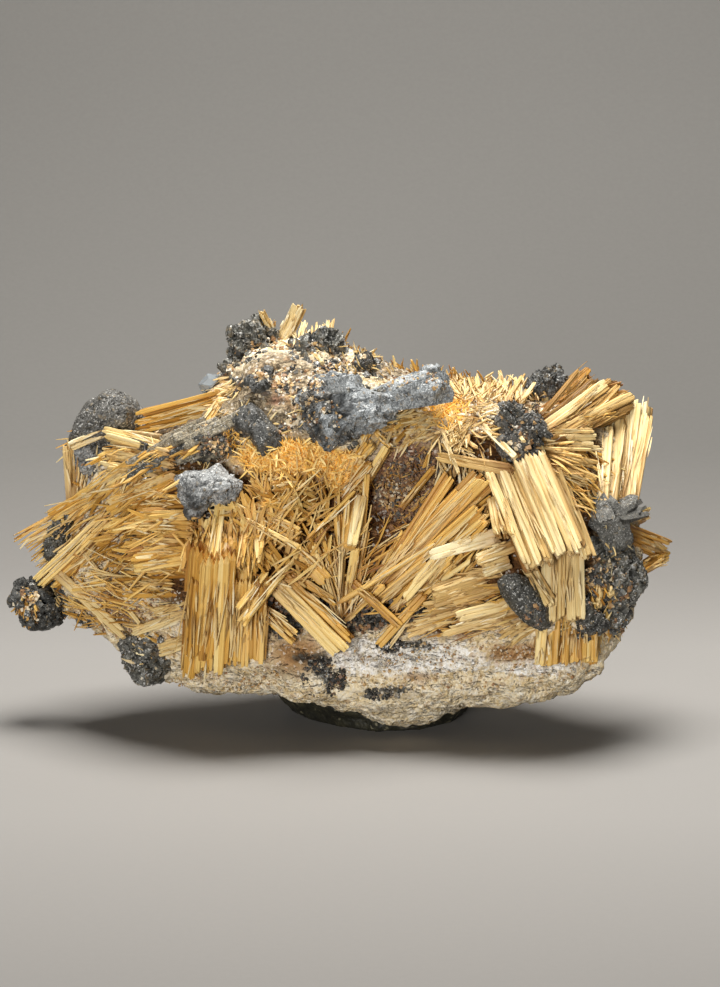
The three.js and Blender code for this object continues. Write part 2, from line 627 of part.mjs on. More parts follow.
// Each group of sheaves that have grown into one another is a node. The ones listed first stand in front.
const RUTILE = {
  rutile_right_sheaf: [
    {
      root: [21.4, 31.6], tip: [26.8, 19.8],
      width: 10.6, blades: 5, thick: 2.4, out: [1.2, 4.6], ragged: 0.1,
    },
    { root: [25.4, 21.4], tip: [27.4, 11.6], width: 5.8, blades: 2, thick: 2, out: [0.6, 3], ragged: 0.12 },
  ],
  rutile_right_columns: [
    {
      root: [33.2, 24.6], tip: [36.6, 40.3],
      width: 6, blades: 3, thick: 2.2, out: [0.6, 0.4], ragged: 0.04,
    },
    { root: [26.2, 34.6], tip: [35.2, 42.4], width: 4.8, blades: 2, thick: 2, out: [0.5, 1] },
    { root: [24.8, 33.4], tip: [35.2, 33], width: 5, blades: 2, thick: 1.8, out: [1, 2.2], ragged: 0.05 },
    { root: [25.4, 32], tip: [31.8, 24.6], width: 3, blades: 1, out: [0.8, 2.2] },
  ],
  rutile_right_tip: [
    { root: [34, 24.6], tip: [41, 21.8], width: 2.6, blades: 2, spread: 0.5, out: [0.5, 0.5] },
    { root: [35.8, 18], tip: [40.6, 21.5], width: 1.8, blades: 1, out: [0.5, 0.5] },
  ],
  rutile_bottom_sheaf: [
    { root: [28.6, 12.2], tip: [28.8, 6.9], width: 8.2, blades: 4, out: [0.6, 1.8], ragged: 0.08 },
  ],
  rutile_upper_blocks: [
    { root: [19.6, 18], tip: [11.4, 15], width: 3, blades: 2, thick: 1.8, out: [0.4, 2.8], ragged: 0.1 },
  ],
  rutile_lower_blocks: [
    { root: [21.6, 14.6], tip: [12.4, 11.6], width: 3.8, blades: 3, out: [0.5, 2], ragged: 0.2 },
    { root: [14, 12], tip: [7, 9.8], width: 1.8, blades: 1, out: [0.4, 1] },
  ],
  rutile_front_rod: [{ root: [10, 15], tip: [5, 9.4], width: 1.6, blades: 1, out: [1, 1.8] }],
  rutile_right_rise: [
    { root: [4.4, 13.6], tip: [18.4, 28.4], width: 6, blades: 4, thick: 1.8, out: [0.6, 3], ragged: 0.15 },
    { root: [2.6, 17.4], tip: [13.6, 31.4], width: 3.4, blades: 2, out: [0.6, 2], ragged: 0.1 },
    { root: [11.4, 13], tip: [18.8, 20.4], width: 3.4, blades: 2, out: [0.4, 2.2], ragged: 0.2 },
  ],
  rutile_centre_fan: [
    { root: [0.4, 12.2], tip: [-4.6, 27.6], width: 3.2, blades: 2, out: [0.4, 2], ragged: 0.2 },
    {
      root: [0.8, 12.4], tip: [1.6, 30],
      width: 3.2, blades: 2, spread: 1.3, out: [0.8, 2.4], ragged: 0.15,
    },
    { root: [-9.6, 27.4], tip: [-0.6, 19.6], width: 2.2, blades: 1, out: [0.4, 1.8] },
  ],
  rutile_cleft_sheaf: [
    { root: [0.2, 25], tip: [7, 36.4], width: 3.8, blades: 2, out: [0, 1.6], ragged: 0.2 },
  ],
  rutile_diagonal_sheaf: [
    {
      root: [-8.4, 16.4], tip: [0.6, 8.6],
      width: 4.8, blades: 4, thick: 1.8, out: [0.6, 2.4], ragged: 0.1,
    },
    { root: [-10.6, 14.4], tip: [-4.4, 8.6], width: 1.8, blades: 1, out: [0.4, 1.4] },
  ],
  rutile_lower_sheaf: [
    {
      root: [-13, 20.4], tip: [-14.8, 5.8],
      width: 8.4, blades: 4, thick: 1.8, spread: 1.15, out: [0.4, 1],
    },
    { root: [-9.4, 23.4], tip: [-12, 11.6], width: 2.4, blades: 1, out: [0.6, 2.8] },
  ],
  rutile_left_spikes: [
    { root: [-25.6, 31], tip: [-34.8, 26.8], width: 4.2, blades: 2, thick: 1.8, out: [0.5, 0.6] },
    { root: [-29, 24.6], tip: [-38.2, 17], width: 3.8, blades: 2, thick: 1.8, out: [0.6, 1], ragged: 0.12 },
    { root: [-31, 27.6], tip: [-40.4, 22], width: 2.8, blades: 1, out: [0.3, 0.2] },
    { root: [-19.8, 29.4], tip: [-29.6, 26.8], width: 3.2, blades: 1, out: [0.6, 1] },
  ],
  rutile_left_spray: [
    { root: [-18.6, 24.2], tip: [-29.2, 22.2], width: 6.4, blades: 2, thick: 1.8, out: [0.5, 1.4] },
    { root: [-20, 20.6], tip: [-31, 17.8], width: 3.2, blades: 1, out: [0.5, 1] },
  ],
  rutile_left_shoulder: [
    { root: [-23, 34.4], tip: [-31, 34.4], width: 3, blades: 2, out: [0, 1], ragged: 0.1 },
    { root: [-28, 34.8], tip: [-33.4, 34.2], width: 1.8, blades: 1, out: [0.6, 1.2] },
  ],
  rutile_left_edge: [
    { root: [-33.4, 27.8], tip: [-33.2, 33], width: 2.6, blades: 2, out: [0.4, 0.8], ragged: 0.1 },
  ],
  rutile_upper_bar: [
    {
      root: [-15.8, 39.5], tip: [-26, 36.9],
      width: 3, blades: 2, thick: 2.2, out: [0.4, 1.4], ragged: 0.05,
    },
  ],
  rutile_cross_rod: [{ root: [-34.8, 18.8], tip: [-27, 10.2], width: 1.6, blades: 1, out: [0.6, 1] }],
  rutile_left_foot: [
    { root: [-18.4, 13.4], tip: [-25.6, 11], width: 2.8, blades: 2, out: [0.4, 1.2], ragged: 0.1 },
  ],
  rutile_peak_left: [
    { root: [-7.6, 47], tip: [-9.2, 51.8], width: 1.8, blades: 1, out: [0.2, 0.2] },
    { root: [-7.2, 47], tip: [-4.9, 52.2], width: 2.2, blades: 1, out: [0.2, 0.2] },
  ],
  rutile_peak_right: [
    { root: [-1.4, 47.4], tip: [-0.8, 50.8], width: 3, blades: 2, out: [-1, -1], ragged: 0.3 },
  ],
  rutile_top_tufts: [
    {
      root: [18.2, 38.4], tip: [18.6, 43.6],
      width: 9, blades: 4, thick: 1.8, out: [0.3, 0.6], ragged: 0.4,
    },
  ],
  rutile_right_crest: [
    { root: [27.6, 39.4], tip: [31.8, 43.2], width: 4, blades: 2, out: [-2, -2.4], ragged: 0.2 },
  ],
  rutile_crest_rods: [{ root: [7.4, 38.6], tip: [13.2, 36], width: 3, blades: 2, out: [0.4, 1.4] }],
  rutile_heart_rods: [
    { root: [18.8, 38.8], tip: [12.2, 33.2], width: 2.6, blades: 2, out: [0.4, 1.4], ragged: 0.1 },
    { root: [10.6, 34.2], tip: [18.8, 32.8], width: 1.6, blades: 1, out: [1, 1.8] },
  ],
  rutile_back_left: [
    { root: [20.4, 24], tip: [31, 17.4], width: 6, blades: 2, thick: 1.8, out: [0.4, 1.4], view: BACK },
    { root: [20, 27], tip: [30.6, 29.6], width: 4.8, blades: 2, thick: 1.8, out: [0.4, 1.6], view: BACK },
  ],
  rutile_back_crest: [
    { root: [0.6, 34], tip: [4.6, 45], width: 5, blades: 2, thick: 1.8, out: [0.4, 1], view: BACK },
    { root: [0, 33.4], tip: [-9.6, 39.6], width: 4.4, blades: 2, thick: 1.8, out: [0.4, 1.4], view: BACK },
  ],
  rutile_back_right: [
    { root: [-20, 27], tip: [-31.4, 31], width: 6, blades: 2, thick: 1.8, out: [0.4, 1.2], view: BACK },
    { root: [-22, 24], tip: [-31, 20], width: 3.6, blades: 2, out: [0.4, 1.2], view: BACK },
  ],
  rutile_back_foot: [
    { root: [6.6, 25], tip: [1.6, 14.6], width: 7, blades: 2, thick: 1.8, out: [0.4, 1], view: BACK },
  ],
};

const STONE = {
  rock: { color: 0xc9b698, roughness: 0.9, metalness: 0 },
  hematite: { color: 0x43474c, roughness: 0.45, metalness: 0.6 },
  rutile: { color: 0xd9b06a, roughness: 0.4, metalness: 0 },
  quartz: { color: 0xc6ccce, roughness: 0.15, metalness: 0 },
};

// ---------------------------------------------------------------- the specimen
const specimen = new THREE.Group();
const placed = []; // the rooms of the pieces already in place

function add(name, solid, stone) {
  const mesh = new THREE.Mesh(geometryOf(solid), new THREE.MeshStandardMaterial(STONE[stone]));
  mesh.name = name;
  specimen.add(mesh);
}

// Fits a grown piece to the rock and to the pieces that are already in place.
function grow(name, piece, rooms, stone) {
  let solid = piece.subtract(rockClearance);
  for (const neighbour of placed) {
    if (near(solid, neighbour)) solid = solid.subtract(neighbour);
  }
  add(name, largestBody(solid), stone);
  placed.push(...rooms);
}

// The keel of massive hematite, flat underneath, that the rock's underside sits into: an uneven lump whose
// side bulges between its rest face and the rock.
const FOOT_SIDES = 12;
const FOOT_RINGS = [0.88, 1.04, 1.06, 0.96]; // its width from the rest face up, as a share of its size
const FOOT_UNEVEN = 0.16; // how far its side wanders, as a share of its radius
const FOOT_LUMPS = 2.6; // lumps of that unevenness along its width
function footSolid() {
  const geometry = new THREE.CylinderGeometry(0.5, 0.5, 1, FOOT_SIDES, FOOT_RINGS.length - 1);
  geometry.rotateX(Math.PI / 2);
  const places = geometry.attributes.position;
  for (let i = 0; i < places.count; i += 1) {
    const [x, y, z] = [places.getX(i), places.getY(i), places.getZ(i) + 0.5];
    const ring = FOOT_RINGS[Math.round(z * (FOOT_RINGS.length - 1))];
    const wander = 1 + noise(x * FOOT_LUMPS + FOOT_SIDES, y * FOOT_LUMPS, z * FOOT_LUMPS) * FOOT_UNEVEN;
    places.setXYZ(i, x * ring * wander, y * ring * wander, z);
  }
  geometry.scale(FOOT_SIZE.x, FOOT_SIZE.y, FOOT_SIZE.z);
  geometry.translate(FOOT_MIDDLE.x, FOOT_MIDDLE.y, 0);
  return solidOf(geometry);
}

add("rock", rock, "rock");
grow("hematite_foot", footSolid(), [], "hematite");
for (const [name, crystals] of Object.entries(HEMATITE)) {
  const [piece, room] = [0, GAP].map((grown) => joined(crystals.map((one) => crystal(one, grown))));
  grow(name, piece, [room], "hematite");
}
grow("quartz_crystal", crystal(QUARTZ, 0), [crystal(QUARTZ, GAP)], "quartz");
for (const [name, sheaves] of Object.entries(RUTILE)) {
  grow(name, joined(sheaves.map((one, i) => sheaf(one, i + 1))), sheaves.map(sheafRoom), "rutile");
}

export default specimen;
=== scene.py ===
# %% [markdown]
# # Rutile on hematite
# A mineral specimen the size of a small fist. A lump of pale feldspar rock carries dark hematite crystals, and
# golden rutile has grown over both: sheaves of flat blades, needles, and mats of fibre. The solid model gives
# every piece its place and size. This notebook gives each piece the fine surface that the real mineral has.

import math

import bmesh
import bpy
import numpy as np
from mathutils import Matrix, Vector
from mathutils.bvhtree import BVHTree


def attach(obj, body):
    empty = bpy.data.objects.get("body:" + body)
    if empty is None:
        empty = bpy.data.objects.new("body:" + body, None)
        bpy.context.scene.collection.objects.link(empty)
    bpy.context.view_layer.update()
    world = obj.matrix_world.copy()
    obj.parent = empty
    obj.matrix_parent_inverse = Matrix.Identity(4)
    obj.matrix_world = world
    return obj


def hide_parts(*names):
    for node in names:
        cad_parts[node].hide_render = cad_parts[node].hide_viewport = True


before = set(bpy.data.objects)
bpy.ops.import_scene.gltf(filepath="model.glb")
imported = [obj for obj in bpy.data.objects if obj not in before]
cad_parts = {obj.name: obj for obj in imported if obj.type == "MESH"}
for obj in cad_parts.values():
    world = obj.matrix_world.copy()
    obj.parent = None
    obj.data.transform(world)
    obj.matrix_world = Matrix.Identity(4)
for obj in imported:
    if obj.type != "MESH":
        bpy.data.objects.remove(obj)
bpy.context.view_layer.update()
MM = 0.001

# %% [markdown]
# ## Where things are
# A specimen has no straight edges to measure from, so its pieces are placed the way a museum draws them: on an
# elevation, as millimetres across and millimetres up. A ray from the viewer through that place finds the rock,
# and the piece sits where the ray lands. It sits on the stone from every side, not only from the front.

# %% Elevations and the rock under them
EYE_DISTANCE = 410 * MM
EYE_TILT = math.radians(10)
SIGHT = Vector((2.5, 0, 29)) * MM  # the point that an elevation is centred on
ROCK_MIDDLE = Vector((1, 0, 24)) * MM
LEAN_NORMAL = Vector((0, 1, -0.16)).normalized()  # a plane that stands in where a ray misses the stone
SAME_CORNER = 0.001 * MM


def elevation(azimuth):
    """The eye of a drawing of the specimen and the two directions of its sheet."""
    turn = math.radians(azimuth)
    flat = Vector((math.sin(turn), -math.cos(turn), 0))
    back = flat * math.cos(EYE_TILT) + Vector((0, 0, math.sin(EYE_TILT)))
    right = Vector((math.cos(turn), math.sin(turn), 0))
    return {"eye": SIGHT + back * EYE_DISTANCE, "right": right, "up": back.cross(right)}


FRONT, BACK = elevation(0), elevation(180)


def bare_mesh(node):
    """A bmesh copy of a solid of the frame, with its loose triangles merged."""
    copy = bmesh.new()
    copy.from_mesh(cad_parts[node].data)
    bmesh.ops.remove_doubles(copy, verts=copy.verts, dist=SAME_CORNER)
    return copy


def ray_target(nodes):
    """What a ray needs to find the surface of those solids."""
    together = bmesh.new()
    for node in nodes:
        together.from_mesh(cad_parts[node].data)
    target = BVHTree.FromBMesh(together)
    together.free()
    return target


ROCK = ray_target(["rock"])
# The rock with every crystal and the foot.
STONE = ray_target([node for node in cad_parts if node.startswith(("rock", "hematite"))])


def on_rock(place, out=0.0, view=FRONT, target=ROCK):
    """The stone under a place [across, rise] in millimetres, brought out millimetres towards the eye, and the
    stone's outward direction there."""
    right, up = view["right"], view["up"]
    sheet = SIGHT + right * (place[0] * MM - SIGHT.dot(right)) + up * (place[1] * MM - SIGHT.dot(up))
    ray = (sheet - view["eye"]).normalized()
    hit, outward, _, distance = target.ray_cast(view["eye"], ray)
    if hit is None:
        distance = (ROCK_MIDDLE - view["eye"]).dot(LEAN_NORMAL) / ray.dot(LEAN_NORMAL)
        outward = -ray
    return view["eye"] + ray * (distance - out * MM), outward


print("middle of the display face:", [round(x / MM, 1) for x in on_rock((0, 25))[0]])

# %% [markdown]
# ## Chance, noise and grains
# Stone is uneven at every scale. Three small tools give that unevenness to whole arrays of points at once: a
# repeatable random number for each corner of space, smooth swells between those corners, and grains, which
# are the cells of space nearest to scattered seeds. Every draw starts from a stated seed, so that the
# specimen comes out the same each time.


# %% Noise on arrays of points
ABOVE_ZERO = 1000  # added to whole corners, so that none is negative
FAR_AWAY = 9.0


def chance(corner, seed):
    """A repeatable number from 0 to 1 for whole-numbered corners of space."""
    i, j, k = (corner[..., axis].astype(np.uint64) for axis in range(3))
    mixed = i * np.uint64(374761393) + j * np.uint64(668265263) + k * np.uint64(1440662683)
    mixed = (mixed + np.uint64(seed * 2654435761)) & np.uint64(0xFFFFFFFF)
    mixed = ((mixed ^ (mixed >> np.uint64(13))) * np.uint64(1274126177)) & np.uint64(0xFFFFFFFF)
    return ((mixed ^ (mixed >> np.uint64(16))) & np.uint64(0xFFFF)) / 65535


def swells(points, size, seed=0):
    """Smooth noise from -1 to 1 at points, in lumps of that size."""
    scaled = points / size + ABOVE_ZERO
    low = np.floor(scaled).astype(np.int64)
    share = scaled - low
    share = share * share * (3 - 2 * share)
    total = 0
    for step in np.ndindex(2, 2, 2):
        weight = np.prod(np.where(step, share, 1 - share), axis=-1)
        total = total + weight * chance(low + np.array(step), seed)
    return total * 2 - 1


def grains(points, size, seed=0):
    """For each point its nearest grain: distance from the grain's seed, a random number of the grain's own,
    and the way from the seed to the point. Distances are in grain sizes."""
    scaled = points / size + ABOVE_ZERO
    low = np.floor(scaled).astype(np.int64)
    nearest = np.full(len(points), FAR_AWAY)
    number = np.zeros(len(points))
    offset = np.zeros((len(points), 3))
    for step in np.ndindex(3, 3, 3):
        corner = low + np.array(step) - 1
        seeds = corner + np.stack([chance(corner, seed + axis + 1) for axis in range(3)], axis=-1)
        way = scaled - seeds
        distance = np.linalg.norm(way, axis=-1)
        closer = distance < nearest
        nearest[closer] = distance[closer]
        number[closer] = chance(corner, seed + 7)[closer]
        offset[closer] = way[closer]
    return nearest, number, offset


def facets(points, size, seed=0):
    """Noise from about -1 to 1 that is flat over each grain, at a random tilt: small crystal faces."""
    _, number, offset = grains(points, size, seed)
    tilt = np.stack([np.sin(number * 97 + axis * 2.1 + 1) for axis in range(3)], axis=-1)
    return (offset * tilt).sum(axis=-1) + number - 0.5


sample = np.random.default_rng(1).uniform(-20, 20, (2000, 3))
print("swells reach from", swells(sample, 3).min().round(2), "to", swells(sample, 3).max().round(2))

# %% [markdown]
# ## Meshes as arrays
# A rock is a copy of its solid, remeshed into small even faces and then pushed in and out by noise. Thousands of
# blades are one mesh: a template blade is made once with bmesh, and its corners are copied, stretched and
# turned by arrays. Both need the same few helpers.


# %% Mesh helpers
def shown(name, mesh, material):
    """A finished piece of the specimen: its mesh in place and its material."""
    piece = bpy.data.objects.new(name, mesh)
    bpy.context.scene.collection.objects.link(piece)
    mesh.materials.clear()
    mesh.materials.append(material)
    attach(piece, "root")
    return piece


def applied(piece):
    """Replaces a piece's mesh with what its modifiers make of it."""
    made = bpy.data.meshes.new_from_object(piece.evaluated_get(bpy.context.evaluated_depsgraph_get()))
    piece.modifiers.clear()
    piece.data = made
    return made


def fine_mesh(node, voxel):
    """A copy of a solid in small even faces, voxel millimetres across."""
    copy = bare_mesh(node)
    mesh = bpy.data.meshes.new(node + "_fine")
    copy.to_mesh(mesh)
    copy.free()
    holder = bpy.data.objects.new(node + "_holder", mesh)
    bpy.context.scene.collection.objects.link(holder)
    remesh = holder.modifiers.new("Small faces", "REMESH")
    remesh.mode = "VOXEL"
    remesh.voxel_size = voxel * MM
    made = applied(holder)
    bpy.data.objects.remove(holder)
    return made


def places_of(mesh):
    """A mesh's corners and their outward directions, as arrays, the corners in millimetres."""
    corners = np.empty(len(mesh.vertices) * 3)
    mesh.vertices.foreach_get("co", corners)
    outward = np.empty(len(mesh.vertices) * 3)
    mesh.vertices.foreach_get("normal", outward)
    return corners.reshape(-1, 3) / MM, outward.reshape(-1, 3)


def move_to(mesh, corners, smooth):
    """Puts a mesh's corners at places in millimetres."""
    mesh.vertices.foreach_set("co", (corners * MM).ravel())
    mesh.polygons.foreach_set("use_smooth", [smooth] * len(mesh.polygons))
    mesh.update()


def attribute(mesh, name, values):
    """Stores one number for each corner, for the material to read."""
    mesh.attributes.new(name, "FLOAT", "POINT").data.foreach_set("value", values.astype(np.float32))


def bevel(copy, edges, offset):
    """Cuts some edges of a bmesh to flat bevels."""
    bmesh.ops.bevel(copy, geom=edges, offset=offset, offset_type="OFFSET", segments=1, profile=0.5,
                    affect="EDGES", material=-1)


# %% [markdown]
# ## Shader helpers
# Every material is built from nodes, so a short way to place a node pays for itself. Textures read Object
# coordinates turned into millimetres, so a size in a material is a size on the stone.


# %% Node helpers
def rgb(code):
    """The linear colour of a web colour such as C9B698, with alpha."""
    shares = [int(code[i:i + 2], 16) / 255 for i in (0, 2, 4)]
    return [s / 12.92 if s < 0.04 else ((s + 0.055) / 1.055) ** 2.4 for s in shares] + [1]


def fill(tree, socket, value):
    """Links a socket to another node's output, or sets its constant. A text is a web colour."""
    if isinstance(value, bpy.types.NodeSocket):
        tree.links.new(value, socket)
    else:
        socket.default_value = rgb(value) if isinstance(value, str) else value


def put(tree, kind, *inputs, **named):
    """Adds a node. Inputs fill its sockets in order, and named values go to the socket or setting of that name."""
    node = tree.nodes.new("ShaderNode" + kind)
    for key, value in named.items():
        if key not in node.inputs:
            setattr(node, key, value)
    pairs = [(node.inputs[i], value) for i, value in enumerate(inputs) if value is not None]
    pairs += [(node.inputs[key], value) for key, value in named.items() if key in node.inputs]
    for socket, value in pairs:
        fill(tree, socket, value)
    return node


def sums(tree, operation, *values):
    """The result of one step of arithmetic."""
    return put(tree, "Math", *values, operation=operation).outputs[0]


def times(tree, value, factor):
    """A value multiplied by another."""
    return sums(tree, "MULTIPLY", value, factor)


def swing(tree, noise, width):
    """Noise round a half turned into noise round zero, that many times as wide."""
    return times(tree, sums(tree, "SUBTRACT", noise, 0.5), width)


def ramp(tree, value, stops, smooth=False):
    """A colour for a value, from stops of place and colour."""
    node = put(tree, "ValToRGB", value)
    while len(node.color_ramp.elements) < len(stops):
        node.color_ramp.elements.new(0.5)
    for element, (place, colour) in zip(node.color_ramp.elements, stops):
        element.position = place
        element.color = rgb(colour)
    node.color_ramp.interpolation = "EASE" if smooth else "LINEAR"
    return node.outputs["Color"]


def blend(tree, share, first, second, mode="MIX"):
    """Mixes two colours by a share."""
    node = put(tree, "Mix", data_type="RGBA", blend_type=mode, clamp_factor=True)
    for place, value in ((0, share), (6, first), (7, second)):
        fill(tree, node.inputs[place], value)
    return node.outputs[2]


def tint(tree, colour, mask, strength, code, mode="MIX"):
    """Lays a colour over another where the mask is 1, at that strength."""
    return blend(tree, times(tree, mask, strength), colour, code, mode)


def step_mask(tree, value, low, high):
    """0 below low, 1 above high and smooth between."""
    return put(tree, "MapRange", value, low, high, interpolation_type="SMOOTHSTEP").outputs[0]


def new_group(name, inputs, outputs):
    """A node group with named sockets, and its input and output nodes."""
    tree = bpy.data.node_groups.new(name, "ShaderNodeTree")
    for direction, sockets in (("INPUT", inputs), ("OUTPUT", outputs)):
        for socket, kind in sockets.items():
            tree.interface.new_socket(socket, in_out=direction, socket_type="NodeSocket" + kind)
    return tree, tree.nodes.new("NodeGroupInput"), tree.nodes.new("NodeGroupOutput")


def use_group(tree, group, **named):
    """Places a group in a material."""
    node = tree.nodes.new("ShaderNodeGroup")
    node.node_tree = group
    for key, value in named.items():
        fill(tree, node.inputs[key], value)
    return node.outputs


def new_material(name, **finish):
    """A material with one Principled shader whose constant values are set on its own sockets."""
    material = bpy.data.materials.new(name)
    material.use_nodes = True
    tree = material.node_tree
    tree.nodes.clear()
    shader = put(tree, "BsdfPrincipled", **{key.replace("_", " "): value for key, value in finish.items()})
    put(tree, "OutputMaterial", Surface=shader.outputs[0])
    return material, tree, shader


def millimetres(tree):
    """Object coordinates in millimetres."""
    here = put(tree, "TexCoord").outputs["Object"]
    return put(tree, "VectorMath", here, operation="SCALE", Scale=1 / MM).outputs[0]


def noise(tree, spot, scale, detail, **more):
    """Noise from 0 to 1 at a spot, with that many lumps a millimetre."""
    return put(tree, "TexNoise", spot, Scale=scale, Detail=detail, **more).outputs[0]


def read(tree, name):
    """What the mesh's attribute of that name says."""
    return put(tree, "Attribute", attribute_name=name).outputs["Fac"]


def relief(tree, shader, height, depth):
    """Bump of that depth in millimetres, from a height of 0 to 1."""
    bump = put(tree, "Bump", Height=height, Distance=depth * MM, Strength=1)
    tree.links.new(bump.outputs[0], shader.inputs["Normal"])


# %% [markdown]
# ## Shared effects
# Rock, hematite and the foot are all made of grains, so one group makes scattered grains: cells of space, each
# light or dark by its own chance. A second makes broken relief, which is coarse swells with fine chips on them. A
# third makes the lengthwise lines of a rutile blade.


# %% Shader groups
def make_grain_group():
    """Amount is the share of the cells that are grains. Edge is 1 between cells."""
    tree, given, result = new_group(
        "scattered grains",
        {"Vector": "Vector", "Size": "Float", "Amount": "Float"},
        {"Mask": "Float", "Chance": "Float", "Edge": "Float"},
    )
    scale = sums(tree, "DIVIDE", 1, given.outputs["Size"])
    warp = put(tree, "TexNoise", given.outputs["Vector"], Scale=1.7, Detail=2)
    bent = put(tree, "VectorMath", given.outputs["Vector"], warp.outputs["Color"], operation="ADD").outputs[0]
    cells = put(tree, "TexVoronoi", bent, Scale=scale, Randomness=1)
    number = put(tree, "SeparateColor", cells.outputs["Color"]).outputs[0]
    picked = sums(tree, "LESS_THAN", number, given.outputs["Amount"])
    core = step_mask(tree, cells.outputs["Distance"], 0.62, 0.42)
    tree.links.new(times(tree, picked, core), result.inputs["Mask"])
    tree.links.new(number, result.inputs["Chance"])
    tree.links.new(step_mask(tree, cells.outputs["Distance"], 0.3, 0.75), result.inputs["Edge"])
    return tree


def make_broken_group():
    """Swells of that size with chips on them."""
    tree, given, result = new_group("broken relief", {"Vector": "Vector", "Size": "Float"}, {"Height": "Float"})
    scale = sums(tree, "DIVIDE", 1, given.outputs["Size"])
    coarse = noise(tree, given.outputs["Vector"], scale, 9, Roughness=0.62)
    chips = put(tree, "TexVoronoi", given.outputs["Vector"], Scale=times(tree, scale, 2.6))
    height = sums(tree, "ADD", coarse, times(tree, chips.outputs["Distance"], 0.35))
    tree.links.new(height, result.inputs["Height"])
    return tree


def make_striation_group():
    """Lines, finer fibres and short knots along a blade, from its UV map."""
    tree, given, result = new_group(
        "blade lines", {"Vector": "Vector"}, {"Line": "Float", "Fibre": "Float", "Knot": "Float"}
    )
    for name, stretch in (("Line", (3.4, 0.03, 1)), ("Fibre", (10, 0.1, 1)), ("Knot", (1.1, 0.25, 1))):
        spot = put(tree, "Mapping", given.outputs["Vector"], Scale=stretch).outputs[0]
        tree.links.new(noise(tree, spot, 1, 3, Roughness=0.6), result.inputs[name])
    return tree


GRAINS, BROKEN, BLADE_LINES = make_grain_group(), make_broken_group(), make_striation_group()


def speckle(tree, colour, here, size, amount, strength, code):
    """Lays scattered grains of one colour over another."""
    grain = use_group(tree, GRAINS, Vector=here, Size=size, Amount=amount)
    return tint(tree, colour, grain["Mask"], strength, code)


print("groups:", [group.name for group in bpy.data.node_groups])

# %% [markdown]
# ## Feldspar rock
# The matrix is altered feldspar: white where it is fresh, tan and pink where it has weathered, and rust-brown
# beside the ore. The stains lie in patches, so the mesh carries how much rust, white and ochre each spot has, and
# the material breaks the patches' edges up with noise. The dark ochre patches under the sheaves are partly painted
# shade between the blades, and the crevices are darkened as painted shade. Dark specks of ore and clear grains lie
# all over.


# %% Rock material
# Each kind of stain, from its darkest colour to its palest, in the order that they lie over one another.
STAIN_KINDS = {
    "white": [(0.3, "C8BA9C"), (0.45, "EEE6D6"), (0.6, "FFFCF6")],
    "grit": [(0.3, "3E372D"), (0.44, "7C6C55"), (0.56, "AE9C7E"), (0.7, "D8CAB0")],
    "earth": [(0.3, "6E4A26"), (0.5, "AB8152"), (0.7, "D3B78C")],
    # The shade kind is partly the ochre of the rock under the rutile and partly painted shade between the blades.
    "shade": [(0.3, "2C1B0C"), (0.5, "5E3C1B"), (0.7, "93642D")],
    "amber": [(0.3, "CC882C"), (0.48, "ECB450"), (0.66, "F9DC98")],
    "rust": [(0.28, "38201A"), (0.45, "74503A"), (0.6, "A07C62"), (0.75, "C4A890")],
    "dark": [(0.3, "12110F"), (0.5, "34302A"), (0.62, "5F594E"), (0.75, "9A9282")],
}
LAYER_DIP = math.radians(-7)  # how the stone's layers lie


def make_rock_material():
    """Mottled feldspar, then its stains, one of them partly painted shade, grains, crevices darkened as painted
    shade, and the seams between its layers.
    """
    material, tree, shader = new_material("feldspar rock", Roughness=0.85, Specular_IOR_Level=0.25)
    here = millimetres(tree)
    cloud = noise(tree, here, 0.35, 6, Roughness=0.65)
    mottle = noise(tree, here, 1.6, 5, Roughness=0.7)
    stains = {}
    for name in STAIN_KINDS:
        broken = sums(tree, "ADD", read(tree, name), swing(tree, mottle, 0.9))
        stains[name] = step_mask(tree, broken, 0.28, 0.72)
    colour = ramp(tree, cloud, [(0.3, "BC9C68"), (0.45, "E2CCA0"), (0.58, "F4E8CC"), (0.72, "FDF8EC")])
    fine = ramp(tree, mottle, [(0.32, "9C7A46"), (0.43, "E0C48E"), (0.53, "F8E8C8"), (0.66, "FFFCF2")])
    colour = blend(tree, 0.55, colour, fine)
    for name, stops in STAIN_KINDS.items():
        colour = blend(tree, stains[name], colour, ramp(tree, mottle, stops))
    colour = speckle(tree, colour, here, 0.75, 0.16, 0.4, "B08863")
    colour = speckle(tree, colour, here, 0.42, 0.2, 0.5, "EFE8DA")
    pepper = use_group(tree, GRAINS, Vector=here, Size=0.3, Amount=0.16)
    colour = tint(tree, colour, times(tree, pepper["Mask"], step_mask(tree, cloud, 0.52, 0.4)), 0.7, "4A4236")
    broken = use_group(tree, BROKEN, Vector=here, Size=1.1)["Height"]
    # Painted shade: the low parts of the broken relief are darkened, as shade in the crevices.
    colour = tint(tree, colour, step_mask(tree, broken, 0.64, 0.42), 0.5, "7A6244", "MULTIPLY")
    layers = put(tree, "Mapping", here, Rotation=(0, LAYER_DIP, 0), Scale=(0.26, 0.26, 0.95)).outputs[0]
    wave = noise(tree, layers, 1, 7, Roughness=0.62, Distortion=0.5)
    seam = step_mask(tree, sums(tree, "ABSOLUTE", sums(tree, "SUBTRACT", wave, 0.5)), 0.014, 0.003)
    seam = times(tree, seam, step_mask(tree, mottle, 0.4, 0.55))
    colour = tint(tree, colour, seam, 0.6, "6E5537", "MULTIPLY")
    height = sums(tree, "SUBTRACT", broken, times(tree, seam, 0.5))
    tree.links.new(colour, shader.inputs["Base Color"])
    relief(tree, shader, height, 0.5)
    return material


ROCK_FINISH = make_rock_material()

# %% [markdown]
# The rock's fine form is its solid with ledges, broken steps and pits. Ledges run nearly level, because the rock
# split along its layers. The solid stays the guide: relief stays within 1.6 millimetres of it, and only the two
# hollows over the foot go deeper.

